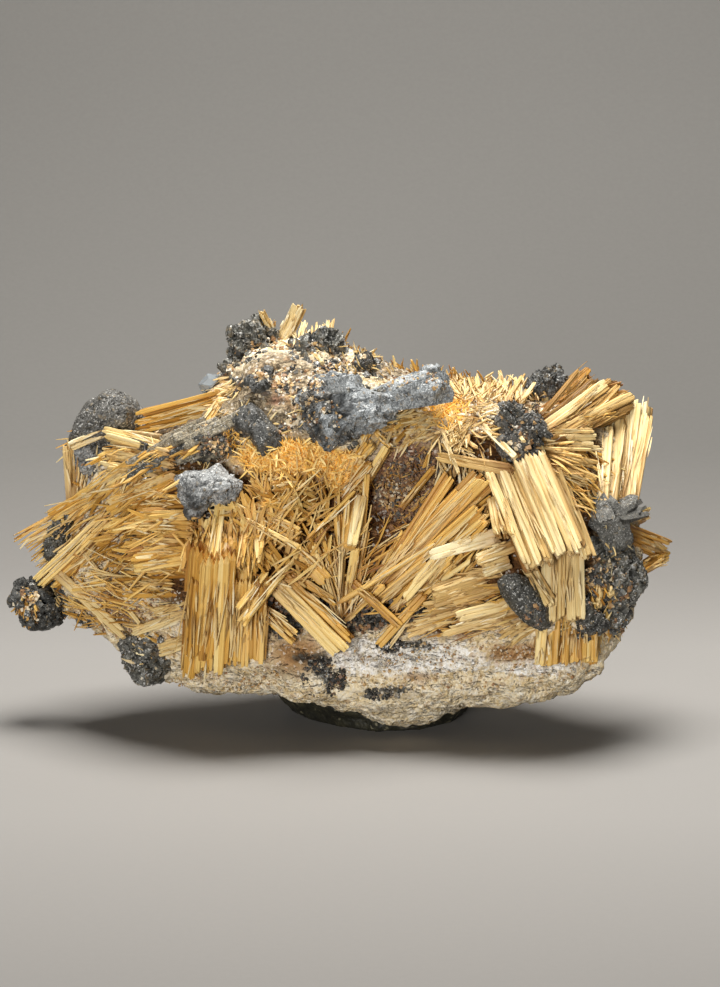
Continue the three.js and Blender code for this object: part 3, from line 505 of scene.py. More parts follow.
# %% The rock
ROCK_FACE = 0.42
LEDGE_SIZE, LEDGE_HEIGHT = 1.5, 0.32
LEDGE_STRETCH = (0.35, 0.35, 1.0)  # a ledge is three times as long as it is high
STEP_SIZE, STEP_HEIGHT, STEP_COUNT = 4.2, 0.3, 3
LUMP_SIZE, LUMP_HEIGHT = 2.2, 0.4
KNOB_SIZE, KNOB_HEIGHT = 0.9, 0.22
CHIP_SIZE, CHIP_HEIGHT = 1.7, 0.3
DEEPEST, HIGHEST = -1.6, 0.7
HOLLOW = 0.8  # how far the stone lies back under the sheaves
SPOT_DEPTH = 9  # how deep into the stone a stain reaches
# Stains of each kind: place, reach across and up, strength, and the elevation if it isn't the front.
STAINS = {
    "white": [
        ((9, 8), (9, 2.2), 1.1), ((1.5, 8.6), (2.4, 2.2), 0.9), ((26, 6.8), (6, 1.5), 0.8),
        ((17, 39.6), (2.2, 1.8), 0.6), ((-7.5, 44.8), (3.6, 0.9), 0.9), ((5.5, 43.6), (3.4, 1.1), 0.9),
        ((-6.4, 36.6), (2.2, 1.6), 0.7), ((-13, 38.6), (2.2, 2), 0.5), ((-6, 26), (7, 3), 1.0, BACK),
        ((16, 12), (8, 3), 0.9, BACK), ((-20, 12), (6, 3), 0.9, BACK),
    ],
    "grit": [
        ((-8, 41), (8, 7), 1.2), ((6, 44), (8, 3), 0.7), ((6, 3.4), (7, 1.1), 0.6), ((-7, 6.4), (6, 2), 0.6),
        ((4, 40), (9, 6), 1.0, BACK), ((-14, 20), (7, 4), 0.8, BACK),
    ],
    "earth": [
        ((22, 8.6), (4.6, 1.5), 0.9), ((-28.5, 13.6), (5, 3), 0.8), ((-16, 5.6), (9, 1.6), 0.4),
        ((-5.4, 8.6), (4.6, 3), 0.8), ((9.6, 5.6), (4, 1), 0.6), ((-9, 43), (3, 2), 0.6),
        ((-5, 40), (3, 2), 0.6), ((-15, 43), (3, 4), 0.7), ((8, 12), (9, 3), 0.9, BACK),
        ((-8, 34), (8, 3), 0.9, BACK), ((22, 32), (6, 4), 0.8, BACK),
    ],
    "amber": [
        ((-6, 32.8), (7, 2), 1.2), ((0.5, 31), (2.5, 2.4), 0.9), ((14, 39), (2.2, 2), 0.8),
    ],
    # Painted shade: dark ochre patches under the sheaves, so that the gaps between the blades read dark.
    "shade": [
        ((-18, 24), (15, 8), 1.2), ((2, 21), (14, 8), 1.2), ((22, 24), (14, 10), 1.2), ((-22, 35), (9, 3), 1.0),
        ((25, 36), (12, 6), 1.0), ((-14, 14), (6, 6), 0.8), ((13.5, 12.4), (5, 1.6), 0.7),
        ((26, 24), (7, 7), 1.1, BACK), ((-26, 27), (7, 6), 1.1, BACK), ((2, 38), (6, 5), 0.9, BACK),
        ((4, 19), (5, 6), 0.9, BACK),
    ],
    "rust": [
        ((8.5, 30), (4.6, 5.2), 1.4), ((14.5, 40.2), (1.6, 1.6), 0.8), ((-8, 40.2), (1.4, 1), 0.7),
        ((-4.6, 38.6), (1.4, 1.2), 0.7), ((10, 26), (5, 4), 1.2, BACK), ((-16, 30), (4, 3), 0.9, BACK),
    ],
    "dark": [
        ((5.6, 13.6), (6, 1.3), 0.8), ((-2, 7), (1.3, 2), 0.8), ((-4.8, 8), (2, 1), 0.7),
        ((9.4, 9.6), (2, 0.7), 0.8), ((6.8, 4), (2.4, 0.6), 0.7), ((30, 16), (6, 4), 0.7),
        ((-15, 26), (5, 4), 0.6), ((-19, 21), (4, 3), 0.8, BACK), ((15, 33), (5, 5), 0.7, BACK),
    ],
}
# Hollows under the rock, where the foot shows: place, reach and depth.
UNDERCUTS = [((9.4, 0.2), (5.4, 2.6), 2.4), ((-7, 1.6), (7, 2.4), 1.6)]


def ways_from(place, reach, corners, view=FRONT):
    """How far corners lie from a place of an elevation: across and up in reaches, and as arrows in millimetres."""
    way = corners - np.array(on_rock(place, view=view)[0]) / MM
    return way @ np.array(view["right"]) / reach[0], way @ np.array(view["up"]) / reach[1], way


def spot_share(corners, place, reach, view=FRONT):
    """1 at a place of an elevation, fading smoothly over its reach across and up."""
    across, rise, way = ways_from(place, reach, corners, view)
    return np.exp(-(across**2 + rise**2 + (way[:, 1] / SPOT_DEPTH) ** 2))


def stain_amounts(kind, corners):
    """How much of a stain each corner of the rock has."""
    total = np.zeros(len(corners))
    for place, reach, strength, *view in STAINS[kind]:
        total += strength * spot_share(corners, place, reach, *view)
    return total


def make_rock():
    """The matrix: its solid with relief and hollows, and the amount of each stain on every corner."""
    mesh = fine_mesh("rock", ROCK_FACE)
    corners, outward = places_of(mesh)
    ledges = swells(corners * LEDGE_STRETCH, LEDGE_SIZE, 3)
    steps = np.round(swells(corners, STEP_SIZE, 5) * STEP_COUNT) / STEP_COUNT
    lumps = swells(corners, LUMP_SIZE, 8) * LUMP_HEIGHT + swells(corners, KNOB_SIZE, 9) * KNOB_HEIGHT
    chips = facets(corners, CHIP_SIZE, 12) * CHIP_HEIGHT
    push = ledges * LEDGE_HEIGHT + steps * STEP_HEIGHT + lumps + chips
    push -= np.clip(stain_amounts("shade", corners), 0, 1) * HOLLOW
    push = np.clip(push, DEEPEST, HIGHEST)
    for place, reach, depth in UNDERCUTS:
        push -= spot_share(corners, place, reach) * depth
    move_to(mesh, corners + outward * push[:, None], True)
    for kind in STAIN_KINDS:
        attribute(mesh, kind, stain_amounts(kind, corners))
    piece = shown("rock_matrix", mesh, ROCK_FINISH)
    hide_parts("rock")
    return piece


rock_piece = make_rock()
print("rock:", len(rock_piece.data.polygons), "faces")

# %% [markdown]
# ## Hematite
# The ore is dark, heavy and full of small crystal faces. Each face turns the light its own way, which reads as
# pepper and salt. Colour alone would look painted, so the crystals' meshes have real facets, and the material adds
# grains smaller than those, some painted near white as glints, and darkens pits and cracks as painted shade. The
# crystals differ: the crest is blue-grey and pitted, the rosette is bright, the leaf is nearly black. One builder
# makes them all from a few colours.


# %% Hematite materials
def make_hematite_material(name, dark, light, painted_glints, grain=0.22, gloss=0.45, metal=0.25, soil=0.1):
    """Dark and light are the ends of the grains' colours, the next share is how many grains are painted near white
    as glints of light, and soil is how many carry tan dust."""
    material, tree, shader = new_material(name, Metallic=metal, Specular_IOR_Level=0.6)
    here = millimetres(tree)
    base = use_group(tree, GRAINS, Vector=here, Size=grain, Amount=1.0)
    cloud = noise(tree, here, 0.9, 6, Roughness=0.75)
    share = sums(tree, "ADD", times(tree, base["Chance"], 0.55), sums(tree, "SUBTRACT", cloud, 0.28))
    colour = ramp(tree, share, [(0.15, dark), (0.8, light)])
    # Near-white grains painted as glints of light.
    colour = speckle(tree, colour, here, grain * 0.9, painted_glints, 0.75, "D2D0CA")
    colour = speckle(tree, colour, here, grain * 1.9, soil, 0.5, "9A8767")
    colour = tint(tree, colour, base["Edge"], 0.28, "141312", "MULTIPLY")
    # Painted shade: pits and cracks are darkened; the sooty ovals are added to the same amount.
    colour = tint(tree, colour, read(tree, "pit"), 0.85, "1B1A17")
    tree.links.new(colour, shader.inputs["Base Color"])
    rough = sums(tree, "ADD", times(tree, base["Chance"], 0.35), gloss - 0.17)
    tree.links.new(rough, shader.inputs["Roughness"])
    height = sums(tree, "ADD", base["Chance"], times(tree, base["Edge"], -0.4))
    relief(tree, shader, height, 0.07)
    return material


HEMATITE = {
    "dark": make_hematite_material("dark hematite", "1E1E1C", "6E6D68", 0.08),
    "leaf": make_hematite_material("black hematite", "1C1B19", "605E55", 0.16, grain=0.2),
    "grey": make_hematite_material("grey hematite", "292825", "7C7972", 0.16, soil=0.12, gloss=0.55),
    "star": make_hematite_material("speckled hematite", "44433E", "8E8C84", 0.14, soil=0.1, gloss=0.75, grain=0.16),
    "blue": make_hematite_material("blue-grey hematite", "565A5C", "BCC0C0", 0.12, gloss=0.55),
    "bright": make_hematite_material("bright hematite", "4A4B4C", "BEBFBC", 0.24, grain=0.24, gloss=0.6, metal=0.15),
    "pepper": make_hematite_material("peppered hematite", "1A1917", "86847A", 0.22, grain=0.3, soil=0.2),
    "ridge": make_hematite_material("dusty hematite", "4C4638", "C2B69C", 0.12, grain=0.24, soil=0.35, gloss=0.6),
}
print("hematite finishes:", list(HEMATITE))

# %% [markdown]
# A crystal's mesh is its solid in small faces, grown by the width of the gap round it, so that it sits in the
# stone as if it had grown there. Facets a third to three quarters of a millimetre across push each spot in or out.
# Cracks are where two slow swells are both near zero.

# %% The hematite crystals
# Finish, then in millimetres: size and height of the facets, height of the lumps, depth of the pits.
HEMATITE_LOOKS = {
    "left_dome": ("grey", 0.45, 0.08, 0.25, 0.15),
    "left_patch": ("bright", 0.6, 0.12, 0.2, 0.25),
    "ridge": ("ridge", 1.1, 0.4, 0, 0.8),
    "rosette": ("bright", 1.0, 0.3, 0.2, 0.4),
    "diamond": ("dark", 0.5, 0.04, 0, 0),
    "crest": ("blue", 1.3, 0.4, 0.3, 0.7),
    "peak_left": ("pepper", 1.5, 0.8, 0.5, 0.5),
    "peak_right": ("pepper", 1.6, 0.8, 0.5, 0.5),
    "crest_left": ("dark", 1.3, 0.5, 0.3, 0.3),
    "crest_edge": ("pepper", 0.9, 0.4, 0.4, 0.4),
    "crest_right": ("dark", 1.1, 0.5, 0.4, 0.4),
    "right_shoulder": ("dark", 1.2, 0.6, 0.4, 0.4),
    "right_heart": ("grey", 1.6, 0.8, 0.3, 0.6),
    "star": ("star", 0.4, 0.05, 0, 0),
    "leaf": ("leaf", 0.5, 0.06, 0, 0),
    "right_end": ("pepper", 1.3, 0.7, 0.5, 0.5),
    "right_foot": ("leaf", 1.3, 0.5, 0.2, 0.3),
    "left_end": ("dark", 2.0, 1.0, 0.6, 0.5),
    "lower_left": ("pepper", 1.5, 0.7, 0.3, 0.5),
    "left_band": ("leaf", 1.3, 0.6, 0.4, 0.3),
    "back_plate": ("grey", 1.1, 0.3, 0.4, 0.3),
    "back_lump": ("dark", 1.3, 0.5, 0.5, 0.4),
}
# Part of a crystal that stays a smooth plate, and part that is sooty black: middle and reach on the elevation.
CALM = {"crest": ((7.5, 40.6), (8.5, 4.4)), "right_heart": ((20.8, 34.6), (3.4, 3.4)),
        "rosette": ((-15.4, 32.2), (4.4, 4))}
SOOTY = {"crest": ((-2.4, 37.6), (6, 6.5)), "ridge": ((-18, 33), (6, 2.4)),
         "rosette": ((-18.8, 27), (3, 2.6)), "left_end": ((-36, 14), (3, 3))}
FLAT_CRYSTALS = ("diamond", "star", "leaf")
CRYSTAL_FACE, FLAT_FACE = 0.2, 0.14
CRYSTAL_GROWTH, FLAT_GROWTH = 0.25, 0.12
RECEDED = {"ridge": 0.6, "crest": 0.15}  # slabs lie over these, so they stand back
CALM_SHARE = 0.85  # how much of its relief a smooth plate loses
FINE_SIZE, FINE_HEIGHT = 0.45, 0.3  # the second set of facets, as shares of the first
CRACK_WIDTH = 0.13
FURTHEST_IN, FURTHEST_OUT = -1, 0.5
OVAL_SLOPE = 1.6
crystal_corners = {}  # filled as the crystals are made, for their rims


def oval(corners, middle, reach):
    """1 at the middle of an oval of the front elevation, falling smoothly to 0 at its rim and beyond."""
    across, rise, _ = ways_from(middle, reach, corners)
    return np.clip(OVAL_SLOPE - OVAL_SLOPE * np.sqrt(across**2 + rise**2), 0, 1)


def make_crystal(name, finish, size, height, lump, pit, seed):
    """One crystal: its solid with facets, lumps and cracks."""
    node = "hematite_" + name
    flat = name in FLAT_CRYSTALS
    mesh = fine_mesh(node, FLAT_FACE if flat else CRYSTAL_FACE)
    corners, outward = places_of(mesh)
    rough = 1 - CALM_SHARE * oval(corners, *CALM[name]) if name in CALM else 1
    push = facets(corners, size, seed) * height
    push = push + facets(corners, size * FINE_SIZE, seed + 3) * height * FINE_HEIGHT
    push += swells(corners, 2.6, seed) * lump * 0.5
    cracks = np.abs(swells(corners, 2.4, seed + 5)) + np.abs(swells(corners, 0.8, seed + 6)) * 0.25
    broken = np.clip(swells(corners, 3.5, seed + 9) * 2 + 0.6, 0, 1)
    holes = np.clip(1.3 - cracks / CRACK_WIDTH, 0, 1) * broken * rough
    push = np.clip(push, FURTHEST_IN, FURTHEST_OUT) * rough - holes * pit
    growth = FLAT_GROWTH if flat else CRYSTAL_GROWTH
    corners = corners + outward * (push + growth - RECEDED.get(name, 0))[:, None]
    move_to(mesh, corners, False)
    soot = 0
    if name in SOOTY:
        soot = oval(corners, *SOOTY[name]) * np.clip(swells(corners, 1.1, seed + 4) * 1.6 + 0.7, 0, 1)
    # The pit amount is painted shade in the holes and cracks, plus the sooty ovals.
    attribute(mesh, "pit", np.clip(holes * pit * 2.5 + soot, 0, 1))
    crystal_corners[name] = corners
    piece = shown("ore_" + name, mesh, HEMATITE[finish])
    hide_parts(node)
    return len(mesh.polygons)


faces = [make_crystal(name, *look, seed) for seed, (name, look) in enumerate(HEMATITE_LOOKS.items())]
print(len(faces), "hematite crystals,", sum(faces), "faces")

# %% [markdown]
# ## The foot and the clear crystal
# The specimen stands on a lump of massive hematite, olive-black and rounded, with no crystal faces. Its underside
# stays flat: corners near the rest face aren't pushed. The clear crystal is quartz. It is see-through, so its
# shader only needs half transmission, the index of quartz and a faint grey.

# %% Foot and quartz
FOOT_FACE = 0.5
FOOT_LUMP_SIZE, FOOT_LUMP_HEIGHT = 3.2, 0.5
FOOT_KNOB_SIZE, FOOT_KNOB_HEIGHT = 1.2, 0.2
REST_ZONE = 1.2  # below this height, corners move less and less
QUARTZ_BEVEL = 0.06


def make_foot():
    """The massive lump that the specimen rests on, with its underside kept flat."""
    material, tree, shader = new_material("massive hematite", Roughness=0.55, Metallic=0.1, Specular_IOR_Level=0.4)
    here = millimetres(tree)
    mottle = noise(tree, here, 0.9, 6, Roughness=0.7)
    colour = ramp(tree, mottle, [(0.3, "15140F"), (0.5, "2A281D"), (0.68, "45412F"), (0.8, "5E5843")])
    colour = speckle(tree, colour, here, 0.45, 0.08, 0.5, "8C8468")
    tree.links.new(colour, shader.inputs["Base Color"])
    relief(tree, shader, use_group(tree, BROKEN, Vector=here, Size=1.6)["Height"], 0.35)
    mesh = fine_mesh("hematite_foot", FOOT_FACE)
    corners, outward = places_of(mesh)
    push = swells(corners, FOOT_LUMP_SIZE, 21) * FOOT_LUMP_HEIGHT
    push = push + swells(corners, FOOT_KNOB_SIZE, 22) * FOOT_KNOB_HEIGHT
    free = np.clip(corners[:, 2] / REST_ZONE, 0, 1)
    moved = corners + outward * (push * free)[:, None]
    moved[:, 2] = np.maximum(moved[:, 2], 0)
    move_to(mesh, moved, True)
    piece = shown("massive_foot", mesh, material)
    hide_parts("hematite_foot")


def make_quartz():
    """The clear crystal, with its edges bevelled."""
    material, tree, shader = new_material(
        "clear quartz", Roughness=0.16, IOR=1.54, Transmission_Weight=0.5, Base_Color=rgb("B4BCC0")
    )
    relief(tree, shader, noise(tree, millimetres(tree), 1.2, 4), 0.06)
    copy = bare_mesh("quartz_crystal")
    bevel(copy, copy.edges[:], QUARTZ_BEVEL * MM)
    mesh = bpy.data.meshes.new("quartz")
    copy.to_mesh(mesh)
    copy.free()
    piece = shown("clear_quartz", mesh, material)
    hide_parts("quartz_crystal")


make_foot()
make_quartz()
print("foot and quartz made")

# %% [markdown]
# ## Rutile
# Rutile here is straw-gold. A blade is a bundle of thin laths that grew side by side, so it has lengthwise lines
# and breaks off square, with a pale, ragged end. Deep in a sheaf and at their roots the blades are darkened to
# amber and brown as painted shade, and the grooves between their lines are darkened as painted shade too; the
# amber fibres emit their own colour as painted light. Each lath carries its own tone and how much painted shade it
# has, and its UV map runs in millimetres, across it and along it, so that the lines follow the blade. The map
# marks the broken ends with values far below zero.


# %% Rutile materials
END_MARK = -100  # the UV map's value along a blade, on its broken end


def make_rutile_material(name, stops, painted_glow=0):
    """Stops are the colours from the deepest shade to the palest line; the emission strength makes thin fibres emit
    their own colour, as painted light.
    """
    material, tree, shader = new_material(name, Specular_IOR_Level=0.45, Emission_Strength=painted_glow)
    spot = put(tree, "UVMap", uv_map="blade").outputs[0]
    lines = use_group(tree, BLADE_LINES, Vector=spot)
    wander = sums(tree, "ADD", swing(tree, lines["Line"], 0.55), swing(tree, lines["Fibre"], 0.45))
    tone = sums(tree, "ADD", read(tree, "tone"), swing(tree, lines["Knot"], 0.2))
    colour = ramp(tree, sums(tree, "ADD", tone, wander), stops)
    # Painted shade: the low grooves between the lengthwise lines are darkened.
    colour = tint(tree, colour, step_mask(tree, lines["Line"], 0.38, 0.26), 0.4, "8A5E2A", "MULTIPLY")
    # Painted shade: roots and lower layers are darkened towards brown.
    colour = tint(tree, colour, read(tree, "deep"), 0.9, "A4753A", "MULTIPLY")
    ends = sums(tree, "LESS_THAN", put(tree, "SeparateXYZ", spot).outputs[1], END_MARK / 2)
    colour = tint(tree, colour, ends, 0.5, "D2B27A")
    tree.links.new(colour, shader.inputs["Base Color"])
    tree.links.new(colour, shader.inputs["Emission Color"])
    rough = sums(tree, "ADD", 0.34, times(tree, lines["Fibre"], 0.25))
    tree.links.new(rough, shader.inputs["Roughness"])
    relief(tree, shader, sums(tree, "ADD", lines["Line"], times(tree, lines["Fibre"], 0.6)), 0.12)
    return material


GOLD = [(0.0, "6C4410"), (0.2, "A67428"), (0.4, "D4A248"), (0.6, "E8C06C"), (0.8, "F3D892"), (1, "F9E8B8")]
PALE = [(0.0, "7C5A2A"), (0.2, "B08848"), (0.4, "D6B26E"), (0.6, "E8CD90"), (0.8, "F2E0B0"), (1, "FAF0D0")]
AMBER = [(0.0, "B06414"), (0.22, "D08420"), (0.42, "E6A034"), (0.6, "F2B648"), (0.8, "F8C864"), (1, "FBDC90")]
RUTILE = {
    "gold": make_rutile_material("golden rutile", GOLD),
    "pale": make_rutile_material("pale rutile", PALE),
    # Painted light: the amber fibres emit their own colour.
    "amber": make_rutile_material("amber rutile", AMBER, painted_glow=0.12),
}
print("rutile finishes:", list(RUTILE))

# %% [markdown]
# The template lath is a bar one unit long with its four long edges bevelled, cut in three along its length so that
# it can bow. Arrays then make thousands of laths from it: each copy is stretched to its own width, thickness
# and length, tapered, bowed, cut at a slant, and turned to its own direction.


# %% Laths
RING_PLACES = (0.06, 0.36, 0.66, 0.94)  # where the template is cut, as shares of its length
LATH_BEVEL = 0.18


def make_template(bevelled):
    """A bar from z = 0 to z = 1 as corners and faces, and which of the faces is its far end."""
    bar = bmesh.new()
    bmesh.ops.create_cube(bar, size=1)
    bmesh.ops.translate(bar, verts=bar.verts, vec=(0, 0, 0.5))
    if bevelled:
        long_edges = [edge for edge in bar.edges if abs(edge.verts[0].co.z - edge.verts[1].co.z) > 0.5]
        bevel(bar, long_edges, LATH_BEVEL)
    for place in RING_PLACES if bevelled else RING_PLACES[1:3]:
        whole = bar.verts[:] + bar.edges[:] + bar.faces[:]
        bmesh.ops.bisect_plane(bar, geom=whole, plane_co=(0, 0, place), plane_no=(0, 0, 1))
    bar.verts.index_update()
    corners = np.array([corner.co[:] for corner in bar.verts])
    faces = [[corner.index for corner in face.verts] for face in bar.faces]
    tips = [face.normal.z > 0.9 for face in bar.faces]
    bar.free()
    return corners, faces, tips


BLADE, FIBRE = make_template(True), make_template(False)
ROOT_SHADE = 2.2  # the lowest part of a lath, which is darkened as painted shade
ROOT_SHADE_SHARE = 0.4  # at most this much of its length
ROOT_PINCH = 0.85  # how much narrower a lath is where it leaves its root
SHARPEST = 0.9  # and the most that it narrows at its tip
TAPER_CURVE = 1.5
UV_ROOM = 37  # laths are this far apart on the UV map, so that no two have the same lines
UV_ACROSS, UV_ALONG = 997, 89  # and the map starts again after this far
# How much the laths of one blade differ: as shares of its thickness, length and width, then in tone and slant.
LATH_LIFT, LATH_THICK = 0.14, (0.8, 1.1)
LATH_TIP, LATH_ROOT = (-0.05, 0.02), (-0.02, 0.03)
LATH_WIDTH = (0.98, 1.3)
LATH_TONE, LATH_SLANT = 0.07, 0.35


class Laths:
    """A growing list of laths, made into one mesh at the end. Lengths are in millimetres."""

    def __init__(self, seed, shade=0.75):
        """Shade is how dark the painted shade at the roots of the laths is, from 0 to 1."""
        self.random = np.random.default_rng(seed)
        self.shade = shade
        self.rows = []

    def add(self, start, end, side, width, thick, tone, deep=0.0, taper=0.85, bow=0.0, slant=0.0, point=0.0):
        """One lath from start to end, points in metres, with its flat width along side."""
        self.rows.append([*start, *end, *side, width, thick, tone, deep, taper, bow, slant, point])

    def blade(self, start, end, side, width, thick, tone, deep=0.0, taper=0.85, bow=0.0, point=0.3, laths=2):
        """A blade of a few laths that grew together, each a little shorter, thicker or paler than the next."""
        draw = self.random
        side = side.normalized()
        along = (end - start).normalized()
        flat = along.cross(side)
        for i in range(laths):
            share = (i + 0.5) / laths - 0.5
            shift = side * share * width * MM + flat * draw.uniform(-LATH_LIFT, LATH_LIFT) * thick * MM
            reach = (end - start) * draw.uniform(*LATH_TIP)
            root = (end - start) * draw.uniform(*LATH_ROOT)
            pinch = side * share * width * (taper - 1) * MM
            self.add(
                start + shift + root, end + shift + reach + pinch, side, width / laths * draw.uniform(*LATH_WIDTH),
                thick * draw.uniform(*LATH_THICK), tone + draw.normal(0, LATH_TONE), deep, taper, bow,
                draw.normal(0, LATH_SLANT), point * draw.uniform(0.5, 1.5),
            )

    def mesh(self, name, template=BLADE):
        """All the laths as one mesh, with their UV map, tones and the painted shade of their roots and lower layers.
        """
        shape, shape_faces = template[:2]
        rows = np.array(self.rows)
        start, end, side = rows[:, 0:3], rows[:, 3:6], rows[:, 6:9]
        width, thick, tone, deep, taper, bow, slant, point = (rows[:, i, None] for i in range(9, 17))
        along = end - start
        length = np.linalg.norm(along, axis=1, keepdims=True)
        along = along / length
        side = side - along * (side * along).sum(axis=1, keepdims=True)
        side = side / np.linalg.norm(side, axis=1, keepdims=True)
        flat = np.cross(along, side)
        x, y, z = shape.T[:, None, :]
        at_tip, at_root = z > 0.99, z < 0.01
        tapered = 1 + (taper - 1) * z**TAPER_CURVE
        pinch = tapered * (1 - np.clip(point, 0, SHARPEST) * at_tip) * (1 - ROOT_PINCH * at_root)
        across = x * width * MM * pinch
        away = y * thick * MM * pinch + bow * MM * 4 * z * (1 - z)
        far = z * length + at_tip * x * slant * width * MM
        places = (
            start[:, None, :] + across[..., None] * side[:, None, :] + away[..., None] * flat[:, None, :]
            + far[..., None] * along[:, None, :]
        )
        count, corners = len(rows), len(shape)
        faces = [[corner + i * corners for corner in face] for i in range(count) for face in shape_faces]
        mesh = bpy.data.meshes.new(name)
        mesh.from_pydata(places.reshape(-1, 3).tolist(), [], faces)
        attribute(mesh, "tone", np.repeat(tone, corners, axis=1).ravel())
        # Painted shade: each lath is darkened near its root, and by how deep its layer lies.
        shaded = np.minimum(ROOT_SHADE * MM, length * ROOT_SHADE_SHARE)
        depth = deep + (1 - deep) * self.shade * np.clip(1 - z * length / shaded, 0, 1)
        attribute(mesh, "deep", np.broadcast_to(depth, (count, corners)).ravel())
        self.map_blades(mesh, template, x * width + y * thick * 0.9, z * length / MM)
        return mesh

    def map_blades(self, mesh, template, across, along):
        """The UV map: millimetres across and along each lath, and its far end marked."""
        shape, shape_faces, shape_tips = template
        room = np.arange(len(across))[:, None] * UV_ROOM
        loops = np.concatenate([np.array(face) for face in shape_faces])
        is_end = np.concatenate([np.full(len(face), tip) for face, tip in zip(shape_faces, shape_tips)])
        u = (across + room % UV_ACROSS)[:, loops]
        v = np.where(is_end, END_MARK + shape[loops, 1], (along + room % UV_ALONG)[:, loops])
        layer = mesh.uv_layers.new(name="blade")
        layer.data.foreach_set("uv", np.stack([u, v], axis=-1).astype(np.float32).ravel())


print("a blade has", len(BLADE[1]), "faces and a fibre", len(FIBRE[1]))

# %% [markdown]
# ## Sheaves
# A sheaf is what the eye sees first: blades side by side, in one to four layers, with ragged ends. It is given
# by the place of its root, the place of its tip, its width and how many blades lie across it. Its blades follow
# the rock: where the rock swells between root and tip, the sheaf lies on the swell, just as its solid does.

# %% Sheaf builder
SWELL_CHECKS = (0.2, 0.4, 0.6, 0.8)
SPLINTERS = 5  # thin splinters lying on a sheaf, for each blade across it
LAYER_STEP = 0.85  # how far a layer lies under the one before, in thicknesses
LAYER_TONE, LAYER_DEPTH = 0.06, 0.3  # how much darker each lower layer is painted, in tone and in painted shade
BELOW_ROOT = 1.2  # a blade starts this far before its root
NARROW_BLADE = 0.6  # narrower blades are a single lath
# How much the blades of a sheaf differ: in place across it, height, sink, width, thickness, roll and tone.
BLADE_JITTER, BLADE_LIFT, BLADE_SINK = 0.3, 0.18, (0.6, 1.2)
BLADE_WIDTH, BLADE_THICK = (0.9, 1.3), (0.75, 1.15)
BLADE_ROLL, BLADE_TONE = 0.12, 0.09
ROOT_RAGGED, LAYER_RAGGED = 0.3, 0.4  # how unequal the roots and the lower layers are beside the tips
SPLINTER_WIDTH, SPLINTER_LIFT = (0.1, 0.3), (0.1, 0.7)
SPLINTER_ACROSS, SPLINTER_ENDS = (-0.55, 0.55), (-0.02, 0.9)  # where it lies, as shares of the sheaf's size
SPLINTER_LEAST = 0.2  # its least length, as a share of the sheaf's
SPLINTER_WILD = 3  # how many degrees more it strays than a blade
SPLINTER_TONE = (0.04, 0.14)  # how much paler than the sheaf: in the mean, and how much that differs
# A splinter's painted shade, taper and bow.
SPLINTER_DEPTH, SPLINTER_TAPER, SPLINTER_BOW = 0.1, 0.5, 0.1


def sheaf_frame(root, tip, out, view, target):
    """A sheaf's start, end and side, and the direction it faces."""
    start, end = on_rock(root, out[0], view, target)[0], on_rock(tip, out[1], view, target)[0]
    to_eye = (view["eye"] - start).normalized()
    sunk = 0
    for share in SWELL_CHECKS:
        place = [a + (b - a) * share for a, b in zip(root, tip)]
        swell = on_rock(place, 0, view, target)[0] - start.lerp(end, share)
        sunk = max(sunk, swell.dot(to_eye))
    start, end = start + to_eye * sunk, end + to_eye * sunk
    along = (end - start).normalized()
    facing = (to_eye - along * to_eye.dot(along)).normalized()
    return start, end, along.cross(facing), facing


def lay_sheaf(laths, root, tip, width, blades, layers, tone, out, ragged, wild, spread=1.05, thick=0.7, taper=0.9,
              bow=0.15, sink=1.3, point=0.25, view=FRONT, target=ROCK, fine=None):
    """Lays a sheaf's blades. Out is how far its root and tip stand off the rock, ragged is how unequal its blades
    are, wild is how far, in degrees, a blade strays from the sheaf's direction, and sink is how deep its root
    lies in the stone. Fine is the list that takes the sheaf's splinters."""
    draw = laths.random
    start, end, side, facing = sheaf_frame(root, tip, out, view, target)
    length = (end - start).length
    for layer in range(layers):
        for i in range(blades):
            share = (i + 0.5 + draw.uniform(-BLADE_JITTER, BLADE_JITTER)) / blades - 0.5
            lift = facing * (draw.normal(0, BLADE_LIFT) * thick - layer * thick * LAYER_STEP) * MM
            stray = side * length * math.tan(math.radians(draw.normal(0, wild)))
            first = start + side * share * width * MM + lift
            last = end + side * share * width * spread * MM + lift + stray
            last = last.lerp(first, ragged * draw.random() * (1 + LAYER_RAGGED * layer))
            first = first.lerp(last, -BELOW_ROOT * MM / length + ragged * ROOT_RAGGED * draw.random())
            first = first - facing * sink * draw.uniform(*BLADE_SINK) * MM
            blade_width = width / blades * draw.uniform(*BLADE_WIDTH)
            # Lower layers get a darker tone and more painted shade.
            laths.blade(
                first, last, side + facing * draw.normal(0, BLADE_ROLL), blade_width,
                thick * draw.uniform(*BLADE_THICK), tone + draw.normal(0, BLADE_TONE) - LAYER_TONE * layer,
                LAYER_DEPTH * layer, taper, draw.normal(0, bow), point, laths=1 if blade_width < NARROW_BLADE else 2,
            )
    for _ in range(0 if fine is None else blades * SPLINTERS):
        share = draw.uniform(*SPLINTER_ACROSS)
        near, far = sorted(draw.uniform(*SPLINTER_ENDS, 2))
        far = max(far, near + SPLINTER_LEAST)
        lift = facing * thick * draw.uniform(*SPLINTER_LIFT) * MM
        stray = side * length * (far - near) * math.tan(math.radians(draw.normal(0, wild + SPLINTER_WILD)))
        first = start.lerp(end, near) + side * share * width * MM + lift
        last = start.lerp(end, far) + side * share * width * MM + lift + stray
        narrow = draw.uniform(*SPLINTER_WIDTH)
        fine.add(
            first, last, side, narrow, narrow, tone + draw.normal(*SPLINTER_TONE), SPLINTER_DEPTH, SPLINTER_TAPER,
            draw.normal(0, SPLINTER_BOW),
        )


def lay_rows(laths, shared, rows, **common):
    """Lays the sheaves of a table's group: each row's own differences go before what the group shares."""
    for row in rows:
        lay_sheaf(laths, *row[:9], **{**common, **shared, **dict(*row[9:])})


